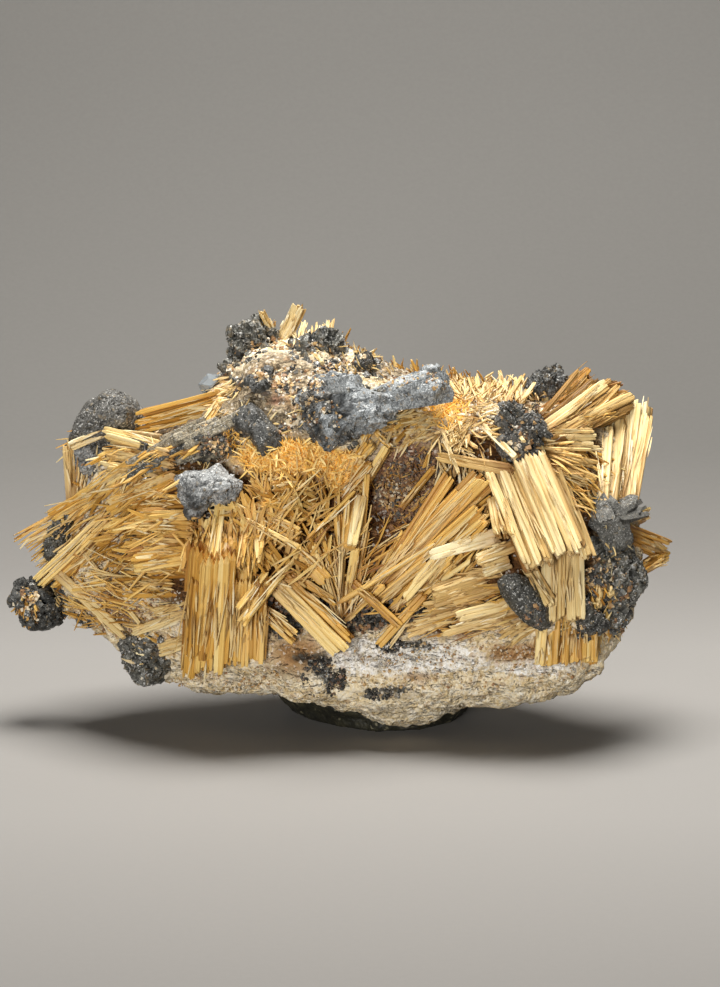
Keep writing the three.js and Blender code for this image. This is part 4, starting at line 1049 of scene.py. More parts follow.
# %% [markdown]
# Every sheaf of the specimen is in the tables below, area by area, in the group that its solid belongs to. Places
# are in millimetres on the front elevation, or on the back elevation where the group says so. A group's piece
# takes the place of its solid, and the splinters that lie on all the sheaves are one more piece.

# %% From a table to pieces
BLADE_SHADE = 0.75  # how dark the painted shade at the roots of most sheaves is
COVERED_SHADE = 0.25  # less painted shade at the roots, where needles lie over them
COVERED_ROOTS = ("lower_sheaf", "bottom_sheaf", "right_sheaf")
FIRST_SEED = 100
splinters = Laths(99)
sheaf_pieces = []


def make_sheaves(groups):
    """Makes a piece of each group: its finish, what its sheaves share, and a row for each sheaf. A row is root,
    tip, width, blades across, layers, tone, height over the rock at root and tip, raggedness and stray in
    degrees, then whatever else is unusual."""
    counted = 0
    for name, (finish, shared, rows) in groups.items():
        laths = Laths(FIRST_SEED + len(sheaf_pieces), COVERED_SHADE if name in COVERED_ROOTS else BLADE_SHADE)
        lay_rows(laths, shared, rows, fine=splinters)
        node = "rutile_" + name
        piece = shown("blades_" + name, laths.mesh(node), RUTILE[finish])
        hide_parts(node)
        sheaf_pieces.append(piece)
        counted += len(laths.rows)
    print(len(groups), "groups hold", counted, "laths")


# %% [markdown]
# The right end is the palest: straight columns that stand side by side, a broad sheaf that hangs down in front of
# them, and blocks of blades that broke off short. They grew freely, so they hardly stray from one direction.

# %% Sheaves of the right end
make_sheaves({
    "right_sheaf": ("pale", {}, [
        ((22, 32), (26.9, 20.2), 7.2, 8, 4, 0.6, (1.6, 4.6), 0.05, 0.7, dict(thick=0.9, sink=0.6)),
        ((19.4, 27.8), (20.8, 23), 2.2, 3, 3, 0.5, (2.6, 3.6), 0.2, 3, dict(thick=0.8)),
        ((27, 31), (31.2, 20), 1.8, 2, 3, 0.5, (1.2, 3.4), 0.08, 1),
        ((27.8, 20.8), (27.9, 12.5), 4.8, 5, 3, 0.54, (1, 3), 0.08, 1.2, dict(thick=0.8)),
        ((24, 18.8), (26.5, 14.5), 1.5, 2, 2, 0.55, (1.4, 2.6), 0.1, 2),
        ((32.5, 17.5), (32.4, 14), 0.8, 1, 2, 0.55, (1, 1.6), 0.1, 2),
        ((34.2, 18.2), (34, 15.5), 0.9, 1, 2, 0.5, (0.8, 1.4), 0.1, 2),
    ]),
    "right_columns": ("pale", {}, [
        ((32.8, 28.8), (33.4, 37.2), 1, 1, 3, 0.58, (0.8, 0.4), 0.02, 0.3, dict(thick=1, spread=1)),
        ((33.9, 27.6), (35.1, 38.1), 1.2, 1, 3, 0.6, (0.8, 0.4), 0.02, 0.3, dict(thick=1, spread=1)),
        ((34.8, 26.8), (36.4, 40), 1.2, 1, 3, 0.66, (1, 0.6), 0, 0.3, dict(thick=1, spread=1)),
        ((35.6, 27.8), (37.2, 40.1), 1.1, 1, 3, 0.64, (1, 0.6), 0.01, 0.3, dict(thick=1, spread=1)),
        ((36.5, 28.8), (38.1, 40), 1.1, 1, 3, 0.6, (0.8, 0.4), 0.01, 0.3, dict(thick=1, spread=1)),
        ((37.2, 30.5), (38.6, 39.8), 0.8, 1, 3, 0.56, (0.6, 0.2), 0.02, 0.3, dict(thick=1, spread=1)),
        ((34.8, 27.8), (36.8, 39), 5, 6, 2, 0.46, (-0.4, -0.8), 0.06, 0.3, dict(thick=1, spread=1)),
        ((26.8, 35.5), (35, 41.8), 3.8, 5, 4, 0.26, (0.5, 1.2), 0.1, 3, dict(thick=0.8)),
        ((26, 37.8), (33, 42.8), 1.8, 3, 2, 0.2, (0.2, 0.8), 0.15, 4),
        ((27.5, 36.2), (36.5, 40.8), 1, 1, 2, 0.42, (1.6, 2), 0, 1),
        ((26.5, 37.2), (33.5, 42.2), 1.2, 1, 2, 0.6, (1.8, 2), 0, 1),
        ((28.2, 35.2), (36.8, 39.8), 0.8, 1, 2, 0.18, (1.2, 1.4), 0, 1),
        ((25, 35.2), (32.6, 35.5), 2.5, 4, 3, 0.56, (1, 2.2), 0.12, 1.5, dict(bow=0.3)),
        ((25.4, 33), (32.1, 32), 2.5, 6, 2, 0.44, (0.8, 1.8), 0.3, 5),
        ((26, 31), (31.8, 28.8), 2.2, 6, 2, 0.4, (0.6, 1.4), 0.35, 7),
    ]),
    "right_tip": ("gold", {}, [
        ((36.5, 25), (38.6, 26.2), 1.1, 3, 2, 0.55, (1, 0.6), 0.1, 2, dict(spread=1.3)),
        ((36.8, 23.5), (41.1, 21.8), 1.4, 2, 2, 0.52, (1.4, 0.4), 0.05, 2, dict(spread=0.7)),
        ((37.5, 19), (41, 21.1), 1.5, 3, 2, 0.46, (0.8, 0.4), 0.05, 2, dict(spread=0.6)),
        ((37.2, 22.2), (40.5, 20.8), 1.1, 3, 1, 0.4, (0.8, 0.4), 0.1, 2),
    ]),
    "bottom_sheaf": ("gold", dict(thick=0.8), [
        ((25.2, 11.8), (24.8, 6.8), 1.2, 1, 3, 0.62, (0.8, 2), 0.02, 0.5, dict(thick=0.9)),
        ((26.6, 11.8), (26.4, 6.9), 1.2, 1, 3, 0.58, (0.8, 2), 0.02, 0.5, dict(thick=0.9)),
        ((28.2, 11.5), (28, 7.1), 1, 1, 3, 0.5, (0.6, 1.8), 0.02, 0.5),
        ((29.8, 11.5), (29.6, 7.2), 1.2, 1, 3, 0.42, (0.6, 1.8), 0.02, 0.5),
        ((31.2, 11.5), (31, 7.2), 1, 1, 3, 0.54, (0.6, 1.7), 0.04, 0.5),
        ((32.5, 12), (31.9, 7), 1, 1, 2, 0.5, (0.5, 1.5), 0.04, 0.5),
        ((28.5, 12), (28.4, 7.6), 7.2, 8, 1, 0.32, (0.2, 0.9), 0.1, 2, dict(thick=0.7)),
    ]),
    "upper_blocks": ("pale", {}, [
        ((18.5, 22.6), (11.2, 20.6), 1.5, 1, 2, 0.72, (2.4, 4), 0, 2, dict(taper=0.7, point=0.8)),
        ((21, 21.8), (16.8, 20.2), 1.4, 2, 2, 0.56, (1.8, 3), 0.1, 2),
        ((17.5, 17.6), (11.6, 15.6), 2.1, 2, 3, 0.5, (1, 3.2), 0.03, 0.6, dict(thick=1)),
        ((19.8, 16.5), (14, 14.8), 1, 1, 2, 0.4, (0.8, 2), 0.05, 2),
        ((20.5, 20), (17.5, 18.8), 1.6, 2, 2, 0.6, (1.6, 2.4), 0.2, 2),
        ((19.8, 18.8), (13.8, 17.2), 1.5, 4, 1, 0.36, (0.4, 1), 0.4, 5),
    ]),
    "lower_blocks": ("pale", {}, [
        ((20.5, 14.5), (14.6, 12.9), 1.1, 1, 3, 0.62, (1, 2.6), 0.02, 0.5, dict(thick=0.9)),
        ((21.2, 13.6), (12.5, 10.6), 0.6, 1, 1, 0.5, (0.8, 1.8), 0.1, 2),
        ((21.5, 13), (13.5, 11.5), 1.5, 4, 2, 0.42, (0.5, 1.2), 0.25, 3),
        ((13.2, 13), (7.8, 11.1), 1.5, 4, 2, 0.4, (0.4, 1.2), 0.3, 4),
        ((16.8, 15.2), (10.5, 13.5), 1.8, 4, 2, 0.36, (0.5, 1.2), 0.4, 5),
        ((25, 13), (20, 10.2), 1.8, 5, 2, 0.42, (0.5, 1.2), 0.3, 7),
    ]),
})

# %% [markdown]
# At the centre the blades fan out from one root above the ledge. Long ones rise to the right across the cleft,
# and a broad sheaf of upright blades stands to the left of them, with single rods lying across it.

# %% Sheaves of the centre
make_sheaves({
    "front_rod": ("gold", dict(sink=0.4), [
        ((10, 14.9), (5, 9.1), 1.1, 1, 1, 0.5, (1.4, 1.8), 0, 2, dict(thick=1)),
        ((2.2, 17.1), (7.4, 12), 1, 1, 1, 0.36, (2.2, 2.4), 0, 2, dict(thick=0.9)),
    ]),
    "right_rise": ("gold", {}, [
        ((0.6, 15.4), (13.2, 23.1), 0.5, 1, 1, 0.6, (2.2, 3.4), 0.1, 2, dict(taper=0.7, sink=0.3)),
        ((3, 14.8), (8.8, 24.2), 1, 2, 2, 0.42, (0.6, 1.8), 0.1, 2),
        ((4, 16.2), (14, 30.5), 0.8, 1, 2, 0.5, (1, 2.4), 0.03, 2),
        ((5.2, 17.2), (16.5, 29.8), 1.8, 3, 2, 0.44, (0.8, 2.2), 0.15, 2),
        ((7.2, 20), (18, 30.9), 1.8, 2, 3, 0.52, (1.2, 2.6), 0.05, 1.5, dict(thick=0.8)),
        ((8.8, 18.5), (18.2, 26.9), 2.2, 3, 3, 0.58, (1.6, 3.4), 0.08, 1.5, dict(thick=0.8)),
        ((4.5, 14.8), (11.5, 20.2), 1.5, 2, 2, 0.48, (1, 2.4), 0.1, 2),
        ((12.6, 20.8), (8.1, 15.6), 1.1, 1, 2, 0.6, (3, 2.4), 0, 2, dict(taper=0.8, sink=0.8)),
        ((10.5, 16.5), (15.2, 21.2), 1.5, 3, 2, 0.46, (1, 2.2), 0.25, 4),
        ((6, 12.5), (12.5, 18.2), 2.2, 5, 2, 0.36, (0.4, 1.4), 0.4, 9),
        ((8, 21.5), (16.2, 26.2), 2, 5, 1, 0.34, (0.2, 1), 0.4, 7),
        ((13.5, 20.8), (18.5, 25.2), 1.5, 3, 2, 0.52, (1.4, 2.6), 0.1, 2),
        ((7.5, 26.8), (12, 32), 0.6, 1, 2, 0.46, (0.8, 1.4), 0.1, 2),
    ]),
    "centre_fan": ("gold", {}, [
        ((0.1, 13), (-3.2, 22.8), 1.4, 3, 2, 0.46, (0.8, 2), 0.12, 1.5, dict(spread=2.4)),
        ((0.2, 13.2), (-2, 25), 1.1, 3, 2, 0.4, (0.8, 2.2), 0.15, 2, dict(spread=2.2)),
        ((0.4, 13.8), (-0.5, 26.8), 0.9, 2, 2, 0.5, (1, 2.4), 0.1, 2, dict(spread=2)),
        ((0, 15.2), (1.2, 28.1), 0.6, 1, 1, 0.64, (2, 3), 0, 0.5),
        ((2.2, 27.8), (1.1, 21.9), 1.5, 1, 2, 0.62, (2.8, 3.2), 0, 0.5, dict(thick=0.8, sink=0.5)),
        ((1, 15.5), (2, 21.8), 0.8, 1, 2, 0.5, (1.4, 2.4), 0.1, 2),
        ((2.1, 16.2), (3.4, 31), 0.6, 1, 2, 0.54, (1.4, 2.8), 0, 0.5),
        ((0.6, 12.8), (5.5, 17.2), 1, 2, 2, 0.44, (0.6, 1.8), 0.1, 2),
        ((0.8, 13), (2.8, 25.8), 1.2, 3, 2, 0.38, (0.5, 1.6), 0.2, 2, dict(spread=1.8)),
        ((-6, 22.2), (-1.6, 17.6), 1.2, 1, 2, 0.52, (1.4, 2.2), 0, 2),
        ((-10, 26.1), (-4.8, 23.1), 1.6, 2, 2, 0.54, (1, 1.8), 0.1, 2),
        ((-11.8, 25.4), (-4.5, 21.5), 0.5, 1, 1, 0.5, (1.8, 2.2), 0.1, 2),
        ((-3.5, 23.4), (2.2, 29.4), 0.4, 1, 1, 0.62, (2.6, 3.2), 0.1, 2, dict(sink=0.4)),
        ((0.2, 28), (4.2, 32.6), 1, 2, 2, 0.5, (1, 2), 0.1, 2),
        ((-4, 30), (-9, 29.8), 0.6, 1, 2, 0.5, (1, 1.4), 0.1, 2),
        ((-5, 28.2), (-9.8, 27), 0.8, 1, 2, 0.5, (1, 1.6), 0.1, 2),
    ]),
    "cleft_sheaf": ("gold", {}, [
        ((2.8, 29.5), (5.8, 34.5), 0.9, 1, 2, 0.6, (0.8, 1.8), 0, 0.5),
        ((1.2, 31.8), (3.8, 35.1), 1.4, 2, 2, 0.56, (0.6, 1.4), 0.1, 2),
        ((2, 33.8), (3.6, 36.4), 0.8, 1, 2, 0.5, (0.4, 1), 0.1, 2),
        ((0, 24.8), (3, 30.2), 1, 3, 2, 0.42, (0.2, 1.2), 0.3, 5),
        ((4.5, 36.4), (6.6, 34.2), 0.6, 1, 2, 0.62, (0.4, 1.6), 0.1, 2),
    ]),
    "diagonal_sheaf": ("gold", {}, [
        ((-7.2, 17.5), (1.1, 9.6), 3, 3, 3, 0.58, (0.8, 2.6), 0.04, 0.8, dict(thick=0.9)),
        ((-10.5, 14.8), (-5.4, 10.4), 1.4, 3, 2, 0.5, (0.6, 1.6), 0.08, 1),
        ((-5.2, 18), (-0.2, 14.5), 1, 2, 2, 0.42, (0.6, 1.6), 0.2, 2),
    ]),
    "lower_sheaf": ("gold", {}, [
        ((-17.9, 20), (-19, 5.4), 2.1, 2, 3, 0.5, (1, 1.8), 0.04, 0.8, dict(thick=0.8)),
        ((-16.1, 18.8), (-16.9, 5.9), 2.1, 2, 3, 0.56, (1.2, 1.9), 0.05, 0.8, dict(thick=0.8)),
        ((-14.1, 19.5), (-14.8, 6.4), 2.1, 2, 3, 0.48, (1.2, 1.9), 0.05, 0.8, dict(thick=0.8)),
        ((-12.1, 18), (-12.5, 6.8), 2.1, 2, 3, 0.52, (1.2, 1.8), 0.05, 0.8, dict(thick=0.8)),
        ((-10.2, 16.8), (-10.4, 7.4), 1.9, 2, 3, 0.46, (1, 1.6), 0.05, 0.8, dict(thick=0.8)),
        ((-14, 16.2), (-14.5, 7.2), 9, 12, 1, 0.34, (0.4, 0.8), 0.12, 2),
        ((-14.9, 26.8), (-16.2, 18.6), 1.1, 1, 2, 0.66, (1.8, 3), 0, 0.5, dict(thick=0.8)),
        ((-8.8, 17.2), (-12.4, 12.4), 0.9, 1, 2, 0.66, (1.8, 2.8), 0, 2),
        ((-9.8, 18), (-12.9, 13.8), 0.8, 1, 2, 0.6, (1.6, 2.4), 0.1, 2),
        ((-5.5, 20.8), (-12, 12.8), 0.4, 1, 1, 0.6, (2.2, 2.8), 0.1, 2),
        ((-13, 24.8), (-12.5, 17.8), 3.8, 6, 2, 0.42, (0.4, 1.2), 0.4, 10),
    ]),
})

# %% [markdown]
# The left is a spray of blades that point down and outwards, past the edge of the rock, under a bar of long ones.
# They lie over one another at slightly different angles, so more layers and more stray are given here.

# %% Sheaves of the left
make_sheaves({
    "left_spikes": ("gold", {}, [
        ((-26.8, 31.9), (-33.1, 27.9), 1.2, 2, 3, 0.66, (1.8, 2), 0.04, 1),
        ((-27.2, 30.1), (-32.6, 26.8), 1.2, 2, 2, 0.54, (1.2, 1.6), 0.06, 1.5),
        ((-30, 28.8), (-36.5, 25.1), 1.8, 3, 2, 0.48, (0.5, 0.9), 0.15, 3),
        ((-22.1, 29.5), (-29.2, 26.4), 1.2, 1, 2, 0.66, (2, 2.8), 0, 0.5),
        ((-22.5, 30.5), (-28.5, 28), 0.8, 1, 2, 0.52, (1.6, 2.2), 0.05, 2),
        ((-29.8, 24.9), (-38, 17.2), 1.5, 2, 3, 0.62, (1.6, 1.6), 0.03, 0.8, dict(thick=0.9)),
        ((-28.8, 23), (-36.2, 16.4), 1.6, 3, 2, 0.46, (0.6, 1), 0.12, 3),
        ((-31.8, 27.8), (-40.2, 21.8), 1.5, 3, 2, 0.52, (0.5, 0.2), 0.12, 4, dict(taper=0.3)),
        ((-31.8, 25.8), (-39, 20.4), 1.5, 3, 2, 0.46, (0.4, 0.2), 0.15, 4, dict(taper=0.3)),
        ((-32.8, 23), (-38, 19.2), 1, 3, 2, 0.44, (0.4, 0.2), 0.15, 5, dict(taper=0.3)),
    ]),
    "left_spray": ("gold", {}, [
        ((-19.5, 26), (-26.5, 25.6), 1.1, 2, 2, 0.66, (1.8, 2.6), 0.12, 3, dict(bow=0.4)),
        ((-19.8, 24), (-29.2, 24.5), 1.8, 2, 3, 0.56, (1.6, 2.4), 0.1, 1.5, dict(bow=0.4)),
        ((-19.5, 22), (-26.8, 22.1), 1.5, 2, 3, 0.5, (1.4, 2.2), 0.12, 2, dict(bow=0.4)),
        ((-19.8, 20.8), (-26.2, 19.8), 1.8, 2, 3, 0.58, (1.6, 2.4), 0.08, 2, dict(thick=1)),
        ((-20, 18.8), (-28.5, 20), 1.2, 3, 2, 0.4, (0.6, 1.2), 0.3, 6),
        ((-22, 17.4), (-34.8, 18.5), 1, 3, 1, 0.48, (0.5, 1), 0.3, 4),
        ((-20.2, 27.8), (-26.5, 27.8), 1.8, 4, 2, 0.44, (0.8, 1.4), 0.35, 6, dict(bow=0.4)),
        ((-20.5, 16.5), (-27.5, 17), 1.5, 4, 2, 0.4, (0.3, 0.8), 0.4, 8),
    ]),
    "left_shoulder": ("pale", {}, [
        ((-21.8, 34.4), (-29.5, 36.5), 0.9, 1, 2, 0.7, (1.4, 3), 0, 0.3, dict(thick=0.9)),
        ((-23.8, 35.8), (-28.8, 36.4), 0.6, 1, 2, 0.62, (1.6, 3.2), 0, 0.3, dict(thick=0.9)),
        ((-28.9, 36.5), (-33.8, 34.4), 1.1, 2, 2, 0.66, (3, 2.6), 0.02, 0.4, dict(thick=0.9, sink=0.3)),
        ((-22.8, 33.8), (-28.5, 35.1), 0.9, 1, 2, 0.6, (1.4, 2.4), 0, 0.3),
        ((-22.5, 33), (-29.8, 34.2), 2, 3, 2, 0.54, (0.4, 1.1), 0.15, 3),
        ((-23.8, 31.5), (-30, 32.2), 1.5, 3, 2, 0.5, (0.4, 1), 0.2, 4),
    ]),
    "left_edge": ("pale", {}, [
        ((-33.5, 28.2), (-34.1, 35.2), 1.1, 2, 2, 0.52, (0.5, 0.9), 0.08, 2),
        ((-32.5, 28.5), (-32, 32), 1, 3, 2, 0.56, (0.6, 1), 0.15, 2, dict(spread=1.7)),
    ]),
    "upper_bar": ("gold", {}, [
        ((-15.5, 39.8), (-25.8, 37.1), 2.8, 5, 3, 0.48, (0.6, 1.6), 0.05, 1.2),
        ((-14.5, 40.8), (-16.8, 37.2), 1, 2, 1, 0.5, (0.8, 1.6), 0.1, 2),
    ]),
    "cross_rod": ("pale", {}, [
        ((-35.4, 18.9), (-27.2, 10.5), 1, 1, 1, 0.6, (1.2, 1.5), 0, 2, dict(thick=0.8, sink=0.5)),
        ((-34.8, 17.2), (-28.5, 10.8), 0.8, 1, 1, 0.46, (0.8, 1), 0.1, 2),
        ((-32.2, 21.2), (-24.5, 12), 0.4, 1, 1, 0.64, (2, 2.2), 0, 2, dict(thick=0.4, sink=0.6)),
    ]),
    "left_foot": ("pale", {}, [
        ((-19, 13.5), (-25.8, 11.1), 1.1, 2, 2, 0.62, (0.7, 1.3), 0.05, 1),
        ((-17.2, 10.8), (-22.8, 9.1), 1.5, 2, 2, 0.5, (0.6, 1.1), 0.06, 1),
        ((-18.8, 15), (-24.2, 13.8), 1.1, 3, 1, 0.44, (0.4, 0.8), 0.3, 6),
    ]),
})

# %% [markdown]
# The crest has short tufts and single rods. Nothing stood in the way of their ends, so these taper.

# %% Sheaves of the crest
make_sheaves({
    "peak_left": ("pale", dict(taper=0.5), [
        ((-8.2, 47.8), (-9.8, 51.4), 1.1, 2, 2, 0.55, (0.4, 0.4), 0.05, 2),
        ((-7.2, 47.8), (-5, 52.2), 1.8, 2, 2, 0.66, (0.4, 0.4), 0.04, 2, dict(taper=0.7)),
        ((-5.5, 46.5), (-4.2, 50.2), 1, 2, 1, 0.6, (0.6, 0.8), 0.2, 2),
    ]),
    "peak_right": ("pale", {}, [
        ((-1.8, 47.2), (-1.2, 50.6), 1.2, 2, 2, 0.55, (-0.4, -0.4), 0.2, 2, dict(taper=0.4)),
        ((-3.2, 47), (-3, 50), 1.1, 2, 1, 0.6, (0.2, 0.2), 0.2, 2, dict(taper=0.3)),
        ((-5.5, 48.5), (-1.8, 44.8), 0.5, 1, 1, 0.64, (1, 1.2), 0, 2),
    ]),
    "top_tufts": ("pale", dict(taper=0.5), [
        ((16.5, 39.5), (16.5, 43.5), 4.5, 7, 2, 0.46, (0.4, 0.6), 0.45, 13),
        ((20.8, 39.8), (21.1, 43.9), 3.8, 6, 2, 0.5, (0.4, 0.6), 0.35, 11, dict(taper=0.6)),
        ((25, 39.8), (24.2, 42.8), 2, 3, 2, 0.44, (0.2, 0.4), 0.3, 12),
    ]),
    "right_crest": ("gold", {}, [
        ((27.5, 39.2), (32, 43.5), 3.2, 4, 3, 0.24, (-1.4, -1.8), 0.2, 6),
        ((30.5, 40.5), (35.8, 42), 2.2, 4, 2, 0.2, (-1, -1.4), 0.25, 6),
    ]),
    "crest_rods": ("gold", dict(taper=0.6), [
        ((10.8, 39.2), (5.2, 36.5), 2, 4, 2, 0.56, (0.8, 1.6), 0.35, 10),
        ((13.2, 38.5), (7.5, 35.5), 2, 4, 2, 0.5, (0.6, 1.4), 0.35, 12),
    ]),
    "heart_rods": ("pale", {}, [
        ((17.8, 37.2), (21.9, 33.2), 0.8, 1, 1, 0.66, (1.8, 3), 0, 0.5),
        ((19.5, 39.8), (23.1, 34.9), 0.4, 1, 1, 0.75, (2.4, 3.6), 0, 0.5),
        ((12.8, 36), (14.9, 31.2), 0.5, 1, 1, 0.6, (1.4, 2.4), 0, 2),
        ((19.8, 31.8), (12.1, 33.2), 1.1, 1, 2, 0.28, (2.4, 1.8), 0, 0.5, dict(taper=0.8, point=0.8)),
        ((14, 39.2), (14.2, 34.5), 0.6, 2, 1, 0.5, (0.8, 1.6), 0.1, 2),
        ((17, 37.8), (13.5, 34.5), 1.8, 4, 2, 0.5, (0.6, 1.4), 0.3, 9),
    ]),
})

# %% [markdown]
# The back carries four bundles, each fanned out from one root. They are of the same blades as the front.

# %% Sheaves of the back
make_sheaves({
    "back_left": ("gold", dict(view=BACK), [
        ((20.4, 24), (31, 17.4), 4.6, 6, 3, 0.5, (0.5, 1.5), 0.1, 2),
        ((20, 27), (30.6, 29.6), 3.6, 5, 3, 0.55, (0.5, 1.7), 0.1, 2),
        ((19, 20), (25, 12.6), 3, 4, 3, 0.5, (0.4, 1.4), 0.1, 2),
        ((22, 22), (33, 23), 2.4, 3, 2, 0.58, (0.6, 1.6), 0.1, 3),
        ((21, 25), (28, 20.5), 0.8, 1, 1, 0.64, (1.6, 2.4), 0.1, 2),
    ]),
    "back_crest": ("gold", dict(view=BACK), [
        ((0.6, 34), (4.6, 45), 3.8, 5, 3, 0.55, (0.5, 1.1), 0.1, 2),
        ((0, 33.4), (-9.6, 39.6), 3.4, 5, 3, 0.48, (0.5, 1.5), 0.1, 2),
        ((1, 35), (-3, 44), 2.4, 4, 2, 0.52, (0.4, 1.2), 0.1, 4),
        ((3, 33), (9.6, 40), 1.8, 3, 2, 0.46, (0.4, 1.2), 0.1, 4),
    ]),
    "back_right": ("gold", dict(view=BACK), [
        ((-20, 27), (-31.4, 31), 4.6, 6, 3, 0.52, (0.5, 1.3), 0.1, 2),
        ((-22, 24), (-31, 20), 2.8, 4, 2, 0.46, (0.5, 1.3), 0.1, 2),
        ((-21, 29), (-28, 36), 3, 4, 3, 0.54, (0.4, 1.2), 0.1, 2),
        ((-23, 25.6), (-32.6, 25.6), 1.6, 2, 2, 0.6, (0.6, 1.4), 0.1, 2),
        ((-22, 21), (-27, 13.6), 2.2, 3, 2, 0.5, (0.4, 1.2), 0.1, 2),
    ]),
    "back_foot": ("gold", dict(view=BACK), [
        ((6.6, 25), (1.6, 14.6), 5.6, 7, 3, 0.5, (0.5, 1.1), 0.1, 2),
        ((7, 23.6), (11.6, 14), 3, 4, 2, 0.54, (0.4, 1.2), 0.1, 3),
        ((4, 24), (-5, 18), 2, 3, 2, 0.46, (0.4, 1.2), 0.1, 4),
    ]),
})
shown("blade_splinters", splinters.mesh("splinters", FIBRE), RUTILE["pale"])
print(len(splinters.rows), "splinters")

# %% [markdown]
# ## Slabs and rays of ore
# Some of the hematite grew flat as well: a ridge of thin slabs that runs down to the left, a dark lens above it,
# and rays round the star. They are laid as sheaves are, with the stone and its ore under them, and take a
# hematite finish.

# %% Ore slabs
# Rows as in the tables of sheaves. A slab's colour comes from its finish, so its tone isn't used.
ORE_SLABS = {
    "ore_ridge_slabs": ("ridge", dict(thick=0.5), [
        ((-15.6, 37.4), (-21, 35.2), 1, 1, 2, 0.5, (1.3, 1.6), 0, 0.3, dict(thick=0.6)),
        ((-19.4, 36), (-26.6, 32), 0.8, 1, 2, 0.5, (1.5, 1.8), 0, 0.3, dict(thick=0.6)),
        ((-13, 37.6), (-19.4, 34.4), 1.2, 1, 2, 0.5, (0.4, 0.8), 0, 1),
        ((-15.4, 38.6), (-22.6, 35.2), 0.6, 1, 1, 0.5, (1, 1.3), 0, 0.5),
        ((-18, 33.4), (-22.4, 31.6), 1.2, 2, 1, 0.5, (0.4, 0.6), 0.1, 4),
    ]),
    "ore_dark_slabs": ("leaf", {}, [
        ((-18.6, 34.8), (-27, 30.4), 0.6, 1, 1, 0.5, (1.4, 1.7), 0, 0.5, dict(thick=0.5)),
        ((-28, 35.5), (-23.8, 34.2), 1, 1, 1, 0.5, (2.6, 3), 0, 2, dict(thick=0.5, point=0.9)),
        ((21.4, 38.6), (26, 34.6), 1.4, 2, 2, 0.5, (0.2, 0.4), 0.1, 4),
    ]),
    "ore_crest_slabs": ("blue", dict(thick=0.4), [
        ((13.2, 42.2), (6.4, 40.4), 3.3, 1, 1, 0.5, (0.2, 0.1), 0, 0, dict(taper=0.6)),
        ((7.4, 38.8), (3.4, 37.8), 2, 1, 1, 0.5, (0.2, 0.1), 0, 0, dict(thick=0.3, taper=0.7)),
        ((3.6, 42.2), (-1.6, 41.8), 2.2, 1, 1, 0.5, (0.3, 0.3), 0, 0, dict(taper=0.8)),
    ]),
    "ore_star_rays": ("star", dict(thick=0.12, sink=0.1), [
        ((35, 26), (37.6, 27.8), 1.2, 2, 1, 0.5, (0.1, 0), 0.1, 2, dict(thick=0.14, spread=1.3)),
        ((35.4, 25), (38.4, 26.4), 1, 2, 1, 0.5, (0.1, 0), 0.1, 2, dict(thick=0.14)),
        ((33.2, 26), (32.2, 28.6), 1.9, 4, 1, 0.5, (0.1, 0), 0.15, 2),
        ((32.4, 25), (30.8, 26.2), 2, 4, 1, 0.5, (0.1, 0), 0.2, 2),
        ((32.6, 22.6), (31, 21.4), 2, 4, 1, 0.5, (0.1, 0), 0.2, 2),
    ]),
}


def make_ore_slabs():
    """One piece for each group of slabs."""
    for seed, (name, (finish, shared, rows)) in enumerate(ORE_SLABS.items(), start=200):
        laths = Laths(seed)
        lay_rows(laths, shared, rows, target=STONE)
        shown(name, laths.mesh(name), HEMATITE[finish])
        print(name, len(laths.rows), "laths")


make_ore_slabs()

# %% [markdown]
# ## Needles, mats and tufts
# Between the sheaves the rutile is thinner: loose needles that cross one another, amber mats of fibre, and tufts
# of short spikes on the crest. Each is scattered in an oval patch of the elevation, at random directions about
# a main one. The needles are laths too, so they share the template and the material.

